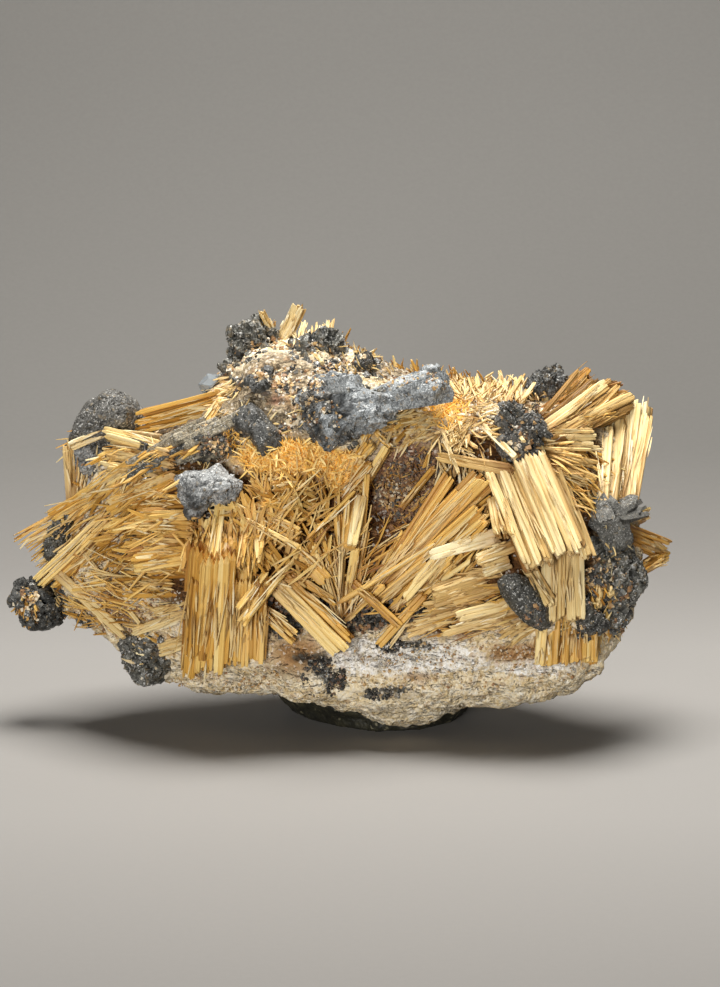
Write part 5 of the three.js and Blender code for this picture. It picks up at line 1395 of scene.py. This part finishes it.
# %% Scattered needles
# Piece: finish, then patches of middle, reach, count, length, width, main direction in degrees anticlockwise from
# rightwards, stray in degrees, height over the rock, steepness and tone, and, where they aren't the front and the
# rock, the elevation and the stone.
PATCHES = {
    "needles_middle": ("gold", [
        ((-6.5, 22), (6.5, 6), 110, (3, 7), (0.14, 0.34), 50, 60, (0.8, 2.4), 0.25, 0.58),
        ((-6, 22), (6.5, 5.4), 110, (2.6, 5.5), (0.25, 0.7), 130, 50, (0.4, 1.8), 0.2, 0.5),
        ((-7, 27.4), (6, 2.6), 90, (1.8, 4.4), (0.2, 0.6), 170, 45, (0.4, 1.6), 0.3, 0.55),
        ((-5, 29), (6.5, 2.6), 90, (2, 4.5), (0.12, 0.3), 100, 60, (0.6, 1.8), 0.3, 0.6),
        ((-14, 23), (5, 3), 110, (1.6, 4), (0.2, 0.6), 80, 50, (0.6, 1.8), 0.35, 0.5),
        ((-14, 21.6), (5, 2), 120, (1.6, 4), (0.14, 0.34), 85, 60, (1, 2.4), 0.35, 0.52),
        ((-14.2, 23.2), (5.2, 1), 240, (2.4, 5), (0.2, 0.6), 266, 16, (1.6, 2.8), 0.1, 0.55),
        ((4, 18), (6, 5), 70, (2.5, 6), (0.14, 0.36), 45, 35, (0.6, 2), 0.2, 0.5),
        ((9, 28), (5, 5), 110, (0.6, 2.2), (0.08, 0.18), 60, 180, (0.2, 1), 0.5, 0.3),
    ]),
    "needles_left": ("gold", [
        ((-25, 22.4), (7, 5), 110, (2.4, 6), (0.14, 0.34), 200, 35, (0.2, 1.2), 0.15, 0.48),
        ((-24, 23.4), (5.4, 4.4), 70, (2.4, 5.5), (0.2, 0.6), 185, 16, (0.1, 1), 0.1, 0.4),
        ((-27, 29), (6, 3.6), 80, (2.4, 5.5), (0.14, 0.34), 205, 26, (0.2, 1), 0.1, 0.5),
        ((-26, 29.6), (5, 2.6), 36, (2.4, 5), (0.2, 0.6), 208, 14, (0.1, 0.9), 0.1, 0.4),
        ((-29, 35), (4, 2), 70, (1.5, 4), (0.14, 0.4), 195, 24, (0.3, 0.9), 0.2, 0.55),
        ((-27, 14), (6, 3), 110, (2, 5), (0.12, 0.3), 170, 50, (0.3, 1.1), 0.2, 0.5),
        ((-37.6, 16), (2, 2.4), 36, (1.4, 3.2), (0.14, 0.4), 225, 40, (0.4, 1.4), 0.2, 0.5),
        ((-23.6, 9), (2, 2), 20, (1.4, 2.8), (0.16, 0.5), 120, 30, (0.4, 1.2), 0.2, 0.55),
    ]),
    "needles_right": ("gold", [
        ((12, 22), (7, 5), 90, (2.5, 6), (0.14, 0.36), 42, 25, (0.5, 1.8), 0.2, 0.52),
        ((10, 18.6), (5.4, 3.4), 70, (2, 5), (0.25, 0.7), 44, 18, (0.4, 1.6), 0.1, 0.48),
        ((17, 15), (6, 4), 140, (1.5, 4), (0.14, 0.36), 195, 25, (0.4, 1.4), 0.2, 0.48),
        ((28, 31), (6, 4), 150, (1.8, 4.5), (0.12, 0.35), -30, 40, (0.5, 1.5), 0.2, 0.44),
        ((30, 40), (5, 2.4), 90, (2.4, 5.5), (0.12, 0.34), 36, 16, (0.3, 1.2), 0.1, 0.36),
        ((31, 15), (4, 4), 110, (1.2, 3.2), (0.12, 0.35), 265, 40, (0.4, 1.3), 0.3, 0.48),
    ]),
    "needles_ridge": ("gold", [
        ((-20.6, 34.4), (4, 0.8), 60, (1.4, 3.2), (0.12, 0.4), 203, 16, (0.2, 0.8), 0.1, 0.5, FRONT, STONE),
        ((-24.6, 8.2), (1.6, 1.2), 12, (1, 2.4), (0.3, 0.6), 152, 24, (0.2, 0.5), 0, 0.8, FRONT, STONE),
        ((-38.8, 14.8), (1.2, 2), 40, (0.8, 2), (0.14, 0.4), 262, 50, (0.1, 0.6), 0.1, 0.45, FRONT, STONE),
        ((-22, 31), (3.4, 2), 70, (1.6, 4), (0.16, 0.5), 205, 30, (0.2, 1), 0.2, 0.55, FRONT, STONE),
    ]),
    "needles_back": ("gold", [
        ((25, 23), (7, 8), 260, (2, 5.5), (0.14, 0.45), -10, 45, (0.4, 1.6), 0.2, 0.5, BACK),
        ((4, 38), (7, 5), 220, (2, 5), (0.14, 0.45), 110, 60, (0.4, 1.6), 0.2, 0.52, BACK),
        ((-26, 27), (7, 6), 260, (2, 5.5), (0.14, 0.45), 165, 40, (0.4, 1.6), 0.2, 0.5, BACK),
        ((4, 19), (6, 6), 200, (2, 5), (0.14, 0.45), 240, 40, (0.4, 1.4), 0.2, 0.5, BACK),
        ((-14, 38.6), (9, 2.4), 220, (1, 3), (0.14, 0.4), 90, 50, (0.3, 1.2), 0.7, 0.54, BACK),
        ((12, 26), (6, 5), 260, (0.8, 2.4), (0.1, 0.26), 90, 180, (0.2, 1.2), 0.6, 0.45, BACK),
    ]),
    "needles_heart": ("pale", [
        ((15.5, 35.5), (4, 4.4), 150, (1.6, 4.6), (0.12, 0.34), 300, 60, (0.4, 2), 0.3, 0.58),
        ((8.5, 37), (4.6, 2.2), 150, (1, 2.8), (0.16, 0.42), 205, 50, (0.4, 1.6), 0.3, 0.6),
        ((22.6, 36), (3, 4), 50, (1.2, 3), (0.12, 0.34), 250, 60, (0.4, 1.8), 0.3, 0.58),
    ]),
    "amber_mat": ("amber", [
        ((-6, 33), (6.4, 1.9), 2300, (0.4, 1.2), (0.08, 0.2), 80, 180, (0.6, 2.1), 0.3, 0.9),
        ((-6, 32.6), (6.8, 2.2), 160, (0.9, 2.2), (0.12, 0.26), 80, 180, (1.2, 2.4), 0.2, 0.95),
        ((0.6, 31), (2.4, 2.6), 900, (0.4, 1.2), (0.08, 0.2), 80, 180, (0.5, 1.6), 0.3, 0.9),
        ((0.6, 31), (2.6, 2.8), 80, (0.9, 2.2), (0.12, 0.26), 80, 180, (0.9, 2.1), 0.2, 0.95),
        ((-14, 35), (3, 1.2), 200, (0.5, 1.6), (0.06, 0.16), 80, 180, (0.2, 0.8), 0.7, 0.75),
        ((13.5, 38.8), (2.6, 2.4), 420, (0.5, 1.8), (0.08, 0.2), 80, 180, (0.2, 1.2), 0.7, 0.75),
    ]),
    "crest_tufts": ("pale", [
        ((16.5, 41.6), (4.6, 1.7), 260, (0.8, 2.8), (0.14, 0.42), 90, 45, (0.3, 1.4), 0.8, 0.58),
        ((21, 41), (2.8, 1.6), 120, (0.8, 2.6), (0.14, 0.42), 95, 40, (0.3, 1.2), 0.8, 0.55),
        ((-6, 48.4), (5, 1.4), 70, (0.6, 2), (0.12, 0.4), 95, 50, (0.2, 0.9), 0.8, 0.6),
        ((-14.5, 41), (2, 2.6), 110, (0.8, 2.2), (0.12, 0.34), 230, 60, (0.2, 0.9), 0.8, 0.55),
        ((5, 44.6), (6, 1.4), 60, (0.5, 1.6), (0.12, 0.3), 90, 70, (0.2, 0.8), 0.8, 0.58),
    ]),
}
NEEDLE_SHADE, MAT_SHADE = 0.6, 0.2  # how dark the painted shade at the roots of needles is, and at those of the amber mat
NEEDLE_SINK = 0.9  # the deepest that a needle's root lies in the stone
BEND = 0.05  # how far a needle bows, as a share of its length
BARE = ((-10.3, 39), (3.4, 3.2))  # the middle and reach of the dark rhomb, which nothing lies on
TOUCHING = 0.1


def spot_in_oval(draw, middle, reach, view=FRONT):
    """A random place in an oval of an elevation, and whether stone lies under it."""
    turn, far = draw.uniform(0, 2 * math.pi), math.sqrt(draw.random())
    place = (middle[0] + reach[0] * far * math.cos(turn), middle[1] + reach[1] * far * math.sin(turn))
    under = on_rock(place, 0, view, STONE)[0]
    bare = view == FRONT and math.hypot(*[(place[i] - BARE[0][i]) / BARE[1][i] for i in (0, 1)]) < 1
    return place, not bare and STONE.find_nearest(under)[3] < TOUCHING * MM


def scatter_needles(laths, middle, reach, count, lengths, widths, heading, stray, over, steep, tone, view=FRONT,
                    target=ROCK):
    """Scatters one patch of needles, which lie along the stone or stand up from it."""
    draw = laths.random
    for _ in range(count):
        place, on_stone = spot_in_oval(draw, middle, reach, view)
        if not on_stone:
            continue
        start, outward = on_rock(place, draw.uniform(-NEEDLE_SINK, over[0]), view, target)
        angle = math.radians(heading + draw.normal(0, 1) * stray * 0.5)
        way = view["right"] * math.cos(angle) + view["up"] * math.sin(angle)
        way = (way - outward * way.dot(outward)).normalized()
        length = draw.uniform(*lengths)
        rise = (over[1] - over[0]) * draw.random() / length + steep * draw.uniform(0, 0.8)
        end = start + (way + outward * rise).normalized() * length * MM
        width = draw.uniform(*widths)
        # A needle's painted shade is a random share of the piece's root shade.
        laths.add(
            start, end, way.cross(outward), width, width * draw.uniform(0.5, 0.9), tone + draw.normal(0, 0.17),
            draw.uniform(0, 1) ** 2 * laths.shade, draw.choice([0.3, 0.6, 0.9]), draw.normal(0, BEND) * length,
            0.3, 0.4,
        )


def make_needles():
    """One piece for each row of the table of patches."""
    for seed, (name, (finish, patches)) in enumerate(PATCHES.items(), start=300):
        laths = Laths(seed, MAT_SHADE if name == "amber_mat" else NEEDLE_SHADE)
        for patch in patches:
            scatter_needles(laths, *patch)
        shown(name, laths.mesh(name, FIBRE), RUTILE[finish])
        print(name, len(laths.rows), "needles")


make_needles()

# %% [markdown]
# ## Crumbs
# Broken crystal lies in every hollow: black chips of hematite, white and pink feldspar, splinters of rutile. A
# crumb is a small block with its corners moved at random, because feldspar and hematite both split into blocks.
# Crumbs are scattered in the same oval patches, half sunk, and each has a tone that its material turns into a
# mineral.


# %% Crumbs
def make_crumb_material():
    """One material for crumbs of every mineral, told apart by their tone."""
    material, tree, shader = new_material("mineral crumbs", Roughness=0.5, Specular_IOR_Level=0.5)
    mottle = noise(tree, millimetres(tree), 3.5, 4, Roughness=0.7)
    wander = sums(tree, "ADD", read(tree, "tone"), swing(tree, mottle, 0.12))
    colour = ramp(tree, wander, [
        (0.0, "181715"), (0.22, "3A3834"), (0.36, "67635B"), (0.46, "7B5A40"), (0.56, "A07A54"), (0.66, "C7A26A"),
        (0.8, "D6C6A6"), (1.0, "EDE6D8"),
    ])
    tree.links.new(colour, shader.inputs["Base Color"])
    relief(tree, shader, mottle, 0.1)
    return material


# Middle, reach, count, sizes, and the least and greatest tone: 0 is black ore, 0.5 rust, 0.7 tan and 1 white.
CRUMBS = [
    ((-7, 44.5), (7, 3.6), 1500, (0.18, 0.6), 0.5, 1),
    ((-7, 44.5), (7, 3.6), 500, (0.18, 0.7), 0, 0.4),
    ((-7.5, 40), (6, 4), 1300, (0.18, 0.55), 0.45, 0.95),
    ((-7.5, 40), (6, 4), 350, (0.18, 0.6), 0, 0.4),
    ((2, 45.2), (5, 1.8), 500, (0.18, 0.55), 0.2, 1),
    ((10, 43), (6, 1.6), 300, (0.18, 0.5), 0.4, 0.9),
    ((-16, 35.4), (5, 2), 360, (0.18, 0.5), 0.1, 0.75),
    ((8.5, 30), (4.6, 5), 1100, (0.15, 0.5), 0.3, 0.66),
    ((7, 28.6), (3, 2), 160, (0.15, 0.5), 0.6, 0.86),
    ((17, 39), (3, 3), 400, (0.15, 0.5), 0.6, 1),
    ((22, 38), (3.4, 3.6), 300, (0.2, 0.6), 0, 0.9),
    ((1, 13), (5, 2), 260, (0.2, 0.6), 0, 0.6),
    ((6, 13.6), (7, 1.6), 360, (0.2, 0.6), 0, 0.5),
    ((-2, 5.6), (2.8, 2.6), 500, (0.15, 0.5), 0, 0.45),
    ((6.2, 9.6), (1.8, 0.9), 160, (0.15, 0.45), 0, 0.4),
    ((4.8, 3.4), (1.8, 0.8), 120, (0.15, 0.45), 0, 0.4),
    ((14, 7), (18, 3), 700, (0.12, 0.36), 0.55, 0.95),
    ((-16, 5.6), (9, 1.8), 400, (0.12, 0.4), 0.5, 0.9),
    ((-28, 13.6), (6, 3), 500, (0.15, 0.45), 0.45, 0.85),
    ((33, 15), (3.6, 5), 520, (0.25, 0.7), 0, 0.75),
    ((28, 13), (5, 2.4), 260, (0.2, 0.6), 0, 0.6),
    ((-6, 14), (6, 3), 240, (0.2, 0.6), 0, 0.6),
    ((-33, 30), (2.6, 4), 120, (0.2, 0.5), 0, 0.7),
    ((-39, 14.4), (1.6, 2.6), 130, (0.2, 0.55), 0.5, 0.85),
    ((-22, 9.6), (1.6, 1.6), 40, (0.2, 0.8), 0.6, 0.76),
    ((22, 36.6), (2.6, 3.6), 160, (0.2, 0.6), 0.5, 0.95),
    ((-2.6, 37), (3, 4), 120, (0.15, 0.5), 0.5, 0.95),
    ((33.6, 16), (3, 5), 160, (0.2, 0.6), 0.55, 0.8),
    ((0, 24), (28, 16), 900, (0.15, 0.5), 0.5, 0.95, BACK),
    ((10, 26), (5, 4), 400, (0.15, 0.5), 0.3, 0.66, BACK),
    ((4, 42), (8, 6), 400, (0.15, 0.6), 0.3, 1, BACK),
]


BLOCK = 0.9  # the edge of a crumb's template, before it is squashed


def crumb_template():
    """A block's corners and its faces as triangles."""
    block = bmesh.new()
    bmesh.ops.create_cube(block, size=BLOCK)
    bmesh.ops.triangulate(block, faces=block.faces)
    corners = np.array([corner.co[:] for corner in block.verts])
    faces = np.array([[corner.index for corner in face.verts] for face in block.faces])
    block.free()
    return corners, faces


def crumb_mesh(name, middles, sizes, tones, draw):
    """Crumbs at those middles, in metres, each squashed and turned at random, as one mesh."""
    corners, faces = crumb_template()
    squash = draw.uniform(0.5, 1.2, (len(middles), 1, 3)) * sizes[:, None, None] * MM
    turns = np.linalg.qr(draw.normal(size=(len(middles), 3, 3)))[0]
    uneven = 1 + draw.uniform(-0.3, 0.3, (len(middles), len(corners), 3))
    places = np.einsum("nvc,ncd->nvd", corners * squash * uneven, turns) + middles[:, None, :]
    handed = np.linalg.det(turns) > 0
    together = faces[None] + np.arange(len(middles))[:, None, None] * len(corners)
    together[~handed] = together[~handed][:, :, ::-1]
    mesh = bpy.data.meshes.new(name)
    mesh.from_pydata(places.reshape(-1, 3).tolist(), [], together.reshape(-1, 3).tolist())
    attribute(mesh, "tone", np.repeat(tones, len(corners)))
    return mesh


def make_crumbs(name, patches, finish, seed):
    """Scatters patches of crumbs as one piece; most are near the smallest of their sizes."""
    draw = np.random.default_rng(seed)
    middles, sizes, tones = [], [], []
    for middle, reach, count, (least, most), low, high, *view in patches:
        for _ in range(count):
            place, on_stone = spot_in_oval(draw, middle, reach, *view)
            if not on_stone:
                continue
            size = least + (most - least) * draw.random() ** 2
            middles.append(on_rock(place, size * draw.uniform(-0.5, 0.3), *view, target=STONE)[0])
            sizes.append(size)
            tones.append(draw.uniform(low, high))
    mesh = crumb_mesh(name, np.array(middles), np.array(sizes), np.array(tones), draw)
    shown(name, mesh, finish)
    print(name, len(sizes), "crumbs")


CRUMB_FINISH = make_crumb_material()
make_crumbs("mineral_crumbs", CRUMBS, CRUMB_FINISH, 500)

# %% [markdown]
# Larger crumbs of the ore itself make the crest and the ends craggy. They are chips of hematite, made as crumbs are,
# and they take the finishes of the crystals that they lie beside.

# %% Chips of ore
# Piece: finish, then patches of middle, reach, count, sizes, and the elevation if it isn't the front.
CHIPS = {
    "chips_grey": ("grey", [
        ((-3, 38.4), (2, 4.2), 90, (0.3, 1.1)),
        ((1.2, 35.6), (2.6, 1.4), 40, (0.3, 1)),
        ((3.6, 45), (2, 2), 30, (0.3, 1.1)),
        ((26.2, 42), (2.2, 2.2), 24, (0.3, 1)),
        ((23.4, 38.4), (1.8, 2.4), 24, (0.3, 1)),
        ((-10.1, 41), (1.6, 1.8), 16, (0.3, 0.9)),
    ]),
    "chips_dark": ("dark", [
        ((-37.2, 15.4), (3, 2.4), 60, (0.4, 1.3)),
        ((-36, 22.6), (1.6, 4), 50, (0.3, 1.1)),
        ((-33.6, 12.6), (2.6, 1.2), 40, (0.3, 1)),
        ((32, 13.5), (3.4, 4), 60, (0.3, 1.1)),
        ((-27, 34.9), (2, 0.8), 16, (0.3, 0.8)),
        ((-6.6, 12.4), (3, 1.6), 40, (0.3, 1)),
        ((-18.6, 23), (4.4, 4.4), 90, (0.3, 1.4), BACK),
        ((15, 34.5), (6, 6), 110, (0.3, 1.4), BACK),
        ((-2, 14), (5, 3), 50, (0.3, 1.2), BACK),
    ]),
    "chips_peppered": ("pepper", [
        ((-12, 46.4), (3.2, 3), 110, (0.3, 1.2)),
        ((-3.2, 46.2), (4, 2), 90, (0.3, 1.2)),
        ((-14, 42.4), (1.6, 2.6), 30, (0.3, 1)),
        ((-23.4, 31.8), (2, 1.8), 40, (0.3, 1)),
        ((34.6, 17.4), (2.8, 5.4), 120, (0.3, 1.2)),
        ((-24, 8.2), (2.8, 3), 90, (0.3, 1.2)),
        ((-2.4, 7), (1.6, 2.2), 40, (0.2, 0.8)),
        ((9.4, 9.4), (2.2, 0.8), 16, (0.2, 0.8)),
        ((6.6, 3.8), (2.2, 0.6), 14, (0.2, 0.7)),
        ((-31.5, 33), (2.4, 2.6), 30, (0.3, 0.9)),
        ((4, 42), (7, 2), 40, (0.3, 0.8)),
    ]),
}
for chip_seed, (chip_name, (chip_finish, chip_patches)) in enumerate(CHIPS.items(), start=520):
    rows = [(*row[:4], 0, 1, *row[4:]) for row in chip_patches]
    make_crumbs(chip_name, rows, HEMATITE[chip_finish], chip_seed)

# %% [markdown]
# Every crystal stands in a rim of its own grit, with short fibres growing over its border, so that it looks grown
# in and not set on. The rims are found by asking which corners of a crystal lie close to the rock.

# %% Rims of grit and fibre
RIM_SAMPLE = 700  # corners of a crystal that are tried
RIM_REACH = 0.7  # how near the rock a corner of the rim is, in millimetres
RIM_GRIT, FLAT_GRIT = 90, 30  # grains round a crystal, and round a flat one
RIM_FIBRES = 34
GRIT_LEAST, GRIT_MORE = 0.18, 0.7
DARK_GRIT = 0.4  # the share of the grains that are ore
FIBRE_LENGTH, FIBRE_WIDTH = (0.8, 2.6), (0.1, 0.34)
BARE_OF_FIBRE = ("crest_left", "peak_left", "crest_edge", "lower_left")


def make_rims():
    """Grit and fibres where the crystals meet the rock, as one piece each."""
    draw = np.random.default_rng(540)
    middles, sizes, tones = [], [], []
    fibres = Laths(541)
    for name, corners in crystal_corners.items():
        tried = corners[draw.integers(0, len(corners), RIM_SAMPLE)]
        found = [ROCK.find_nearest(Vector(corner) * MM) for corner in tried]
        rim = [(place, outward) for place, outward, _, distance in found if distance < RIM_REACH * MM]
        for place, outward in rim[:FLAT_GRIT if name in FLAT_CRYSTALS else RIM_GRIT]:
            size = GRIT_LEAST + GRIT_MORE * draw.random() ** 2.5
            middles.append(place + outward * size * draw.uniform(0, 0.7) * MM)
            sizes.append(size)
            tones.append(draw.uniform(0.1, 0.42) if draw.random() < DARK_GRIT else draw.uniform(0.5, 0.95))
        for place, outward in [] if name in BARE_OF_FIBRE else rim[-RIM_FIBRES:]:
            way = Vector(draw.normal(size=3))
            way = (way - outward * way.dot(outward)).normalized() + outward * draw.uniform(0, 0.7)
            start, length = place + outward * draw.uniform(0, 0.8) * MM, draw.uniform(*FIBRE_LENGTH)
            width = draw.uniform(*FIBRE_WIDTH)
            fibres.add(start, start + way.normalized() * length * MM, way.cross(outward), width, width * 0.7,
                       draw.uniform(0.4, 0.75), 0, 0.5, draw.normal(0, BEND) * length, 0.3, 0.4)
    mesh = crumb_mesh("rims", np.array(middles), np.array(sizes), np.array(tones), draw)
    shown("rim_grit", mesh, CRUMB_FINISH)
    shown("rim_fibres", fibres.mesh("rims", FIBRE), RUTILE["pale"])
    print("rims:", len(sizes), "grains and", len(fibres.rows), "fibres")


make_rims()

# %% [markdown]
# ## Floor
# The specimen stands on a pale sweep that curves up behind it, as on a product table. The sweep has one side only,
# so that the specimen can also be looked at from behind it. A round wall far off closes the room, made by spinning
# one profile.


# %% The sweep
# In metres.
SWEEP_FRONT, SWEEP_START = -1.3, 0.09  # the level part
SWEEP_RADIUS, SWEEP_STEPS = 0.24, 24
SWEEP_TOP = 1.2
SWEEP_WIDTH = 2.6
ROOM_RADIUS = 1.1  # the wall is behind the camera from every side
ROOM_CURVE, ROOM_CURVE_STEPS = 0.5, 16
ROOM_HEIGHT, ROOM_STEPS = 1.5, 64


def open_line(profile, points):
    """A row of edges through the points, in a bmesh."""
    corners = [profile.verts.new(point) for point in points]
    return corners, [profile.edges.new(pair) for pair in zip(corners, corners[1:])]


def add_sweep(profile):
    """A strip that runs level towards the camera, and curves up behind the specimen to a wall."""
    line = [Vector((0, SWEEP_FRONT, 0)), Vector((0, SWEEP_START, 0))]
    for i in range(1, SWEEP_STEPS + 1):
        angle = math.pi / 2 * i / SWEEP_STEPS
        line.append(Vector((0, SWEEP_START + SWEEP_RADIUS * math.sin(angle), SWEEP_RADIUS * (1 - math.cos(angle)))))
    line.append(Vector((0, SWEEP_START + SWEEP_RADIUS, SWEEP_TOP)))
    edges = open_line(profile, [point + Vector((-SWEEP_WIDTH / 2, 0, 0)) for point in line])[1]
    swept = bmesh.ops.extrude_edge_only(profile, edges=edges)["geom"]
    moved = [part for part in swept if isinstance(part, bmesh.types.BMVert)]
    bmesh.ops.translate(profile, verts=moved, vec=(SWEEP_WIDTH, 0, 0))
    bmesh.ops.recalc_face_normals(profile, faces=profile.faces)
    profile.faces.ensure_lookup_table()
    if profile.faces[0].normal.z < 0:
        bmesh.ops.reverse_faces(profile, faces=profile.faces)


def add_room(profile):
    """A round wall, spun from a line that leaves the floor in a curve."""
    turns = [math.pi / 2 * i / ROOM_CURVE_STEPS for i in range(ROOM_CURVE_STEPS + 1)]
    rim = [
        Vector((0, -ROOM_RADIUS - ROOM_CURVE * math.sin(turn), ROOM_CURVE - ROOM_CURVE * math.cos(turn) - 1 * MM))
        for turn in turns
    ]
    corners, wall = open_line(profile, rim + [rim[-1] + Vector((0, 0, ROOM_HEIGHT))])
    before = set(profile.faces)
    bmesh.ops.spin(profile, geom=corners + wall, cent=(0, 0, 0), axis=(0, 0, 1), angle=2 * math.pi,
                   steps=ROOM_STEPS, use_merge=True)
    inward = [face for face in profile.faces if face not in before]
    bmesh.ops.recalc_face_normals(profile, faces=inward)
    if inward[0].normal.dot(inward[0].calc_center_median().cross((0, 0, 1)).cross((0, 0, 1))) < 0:
        bmesh.ops.reverse_faces(profile, faces=inward)


def make_sweep_material():
    """Pale card, darker towards the front and up the wall as painted falloff of light, and clear from behind."""
    material, tree, shader = new_material("pale sweep", Roughness=0.7, Specular_IOR_Level=0.2)
    here = millimetres(tree)
    spot = put(tree, "SeparateXYZ", here).outputs
    run = put(tree, "MapRange", sums(tree, "ADD", spot[1], spot[2]), -150, 350).outputs[0]
    # Painted light: the card darkens towards the front edge and up the curve and wall, as the falloff of the lamps.
    colour = ramp(tree, run, [
        (0.0, "777571"), (0.1, "84817D"), (0.21, "908D89"), (0.38, "908D89"), (0.5, "827F7B"),
        (0.63, "72706C"), (0.96, "6B6965"),
    ])
    colour = tint(tree, colour, noise(tree, here, 1.2, 4), 0.08, "A8A49F")
    tree.links.new(colour, shader.inputs["Base Color"])
    behind = put(tree, "NewGeometry").outputs["Backfacing"]
    clear = put(tree, "BsdfTransparent").outputs[0]
    one_sided = put(tree, "MixShader", behind, shader.outputs[0], clear)
    tree.links.new(one_sided.outputs[0], tree.nodes["Material Output"].inputs["Surface"])
    return material


def make_sweep():
    """The strip and the wall as one mesh, which is stage and not part of the specimen."""
    profile = bmesh.new()
    add_sweep(profile)
    add_room(profile)
    mesh = bpy.data.meshes.new("sweep")
    profile.to_mesh(mesh)
    profile.free()
    mesh.polygons.foreach_set("use_smooth", [True] * len(mesh.polygons))
    mesh.materials.append(make_sweep_material())
    sweep = bpy.data.objects.new("sweep", mesh)
    bpy.context.scene.collection.objects.link(sweep)


make_sweep()

# %% [markdown]
# ## Light and camera
# A large soft light hangs over the specimen, and two others open the shadows in front and behind. The camera looks
# down by ten degrees, from the place that the front elevation is drawn from.


# %% Lights and camera
LIGHT_AIM = Vector((0, 0, 0.025))
SKY, SKY_STRENGTH = "E6E4E0", 0.025
SENSOR = 36
LONG_SIDE = 123.4  # what the render's long side spans at the specimen, in millimetres


def soft_light(name, place, size, power, colour=(1, 1, 1), spread=math.pi):
    """A square soft light that faces the specimen, its place and size in metres and its power in watts. A small
    spread keeps it off the floor close by."""
    lamp = bpy.data.lights.new(name, "AREA")
    lamp.size, lamp.energy, lamp.color, lamp.spread = size, power, colour, spread
    holder = bpy.data.objects.new(name, lamp)
    holder.location = place
    holder.visible_camera = False
    holder.rotation_mode = "QUATERNION"
    holder.rotation_quaternion = (LIGHT_AIM - Vector(place)).to_track_quat("-Z", "Y")
    bpy.context.scene.collection.objects.link(holder)


soft_light("over", (0.02, 0.015, 0.36), 0.2, 2.65, (1, 0.985, 0.96))
soft_light("front", (-0.26, -1, 0.13), 0.25, 0.6, spread=math.radians(50))
soft_light("back", (0.16, 0.42, 0.2), 0.3, 1.3)
world = bpy.data.worlds.new("studio")
world.use_nodes = True
world.node_tree.nodes["Background"].inputs["Color"].default_value = rgb(SKY)
world.node_tree.nodes["Background"].inputs["Strength"].default_value = SKY_STRENGTH
bpy.context.scene.world = world
bpy.context.scene.view_settings.view_transform = "Standard"

camera = bpy.data.objects.new("camera", bpy.data.cameras.new("camera"))
camera.data.sensor_width = SENSOR
camera.data.lens = SENSOR * EYE_DISTANCE / (LONG_SIDE * MM)
camera.data.clip_start, camera.data.clip_end = 0.01, 10
camera.location = FRONT["eye"]
camera.rotation_mode = "QUATERNION"
camera.rotation_quaternion = (SIGHT - FRONT["eye"]).to_track_quat("-Z", "Y")
bpy.context.scene.collection.objects.link(camera)
bpy.context.scene.camera = camera
print("lens", round(camera.data.lens, 1), "mm")

# %% [markdown]
# ## Triangles
# The last cell counts the triangles of every shown piece and prints their total and the largest pieces.

# %% Triangle counts
bpy.context.view_layer.update()
shown_meshes = [piece for piece in bpy.data.objects if piece.type == "MESH" and not piece.hide_render]
counts = {piece.name: sum(len(face.vertices) - 2 for face in piece.data.polygons) for piece in shown_meshes}
print("triangles:", sum(counts.values()), "most:", sorted(counts.items(), key=lambda item: -item[1])[:8])
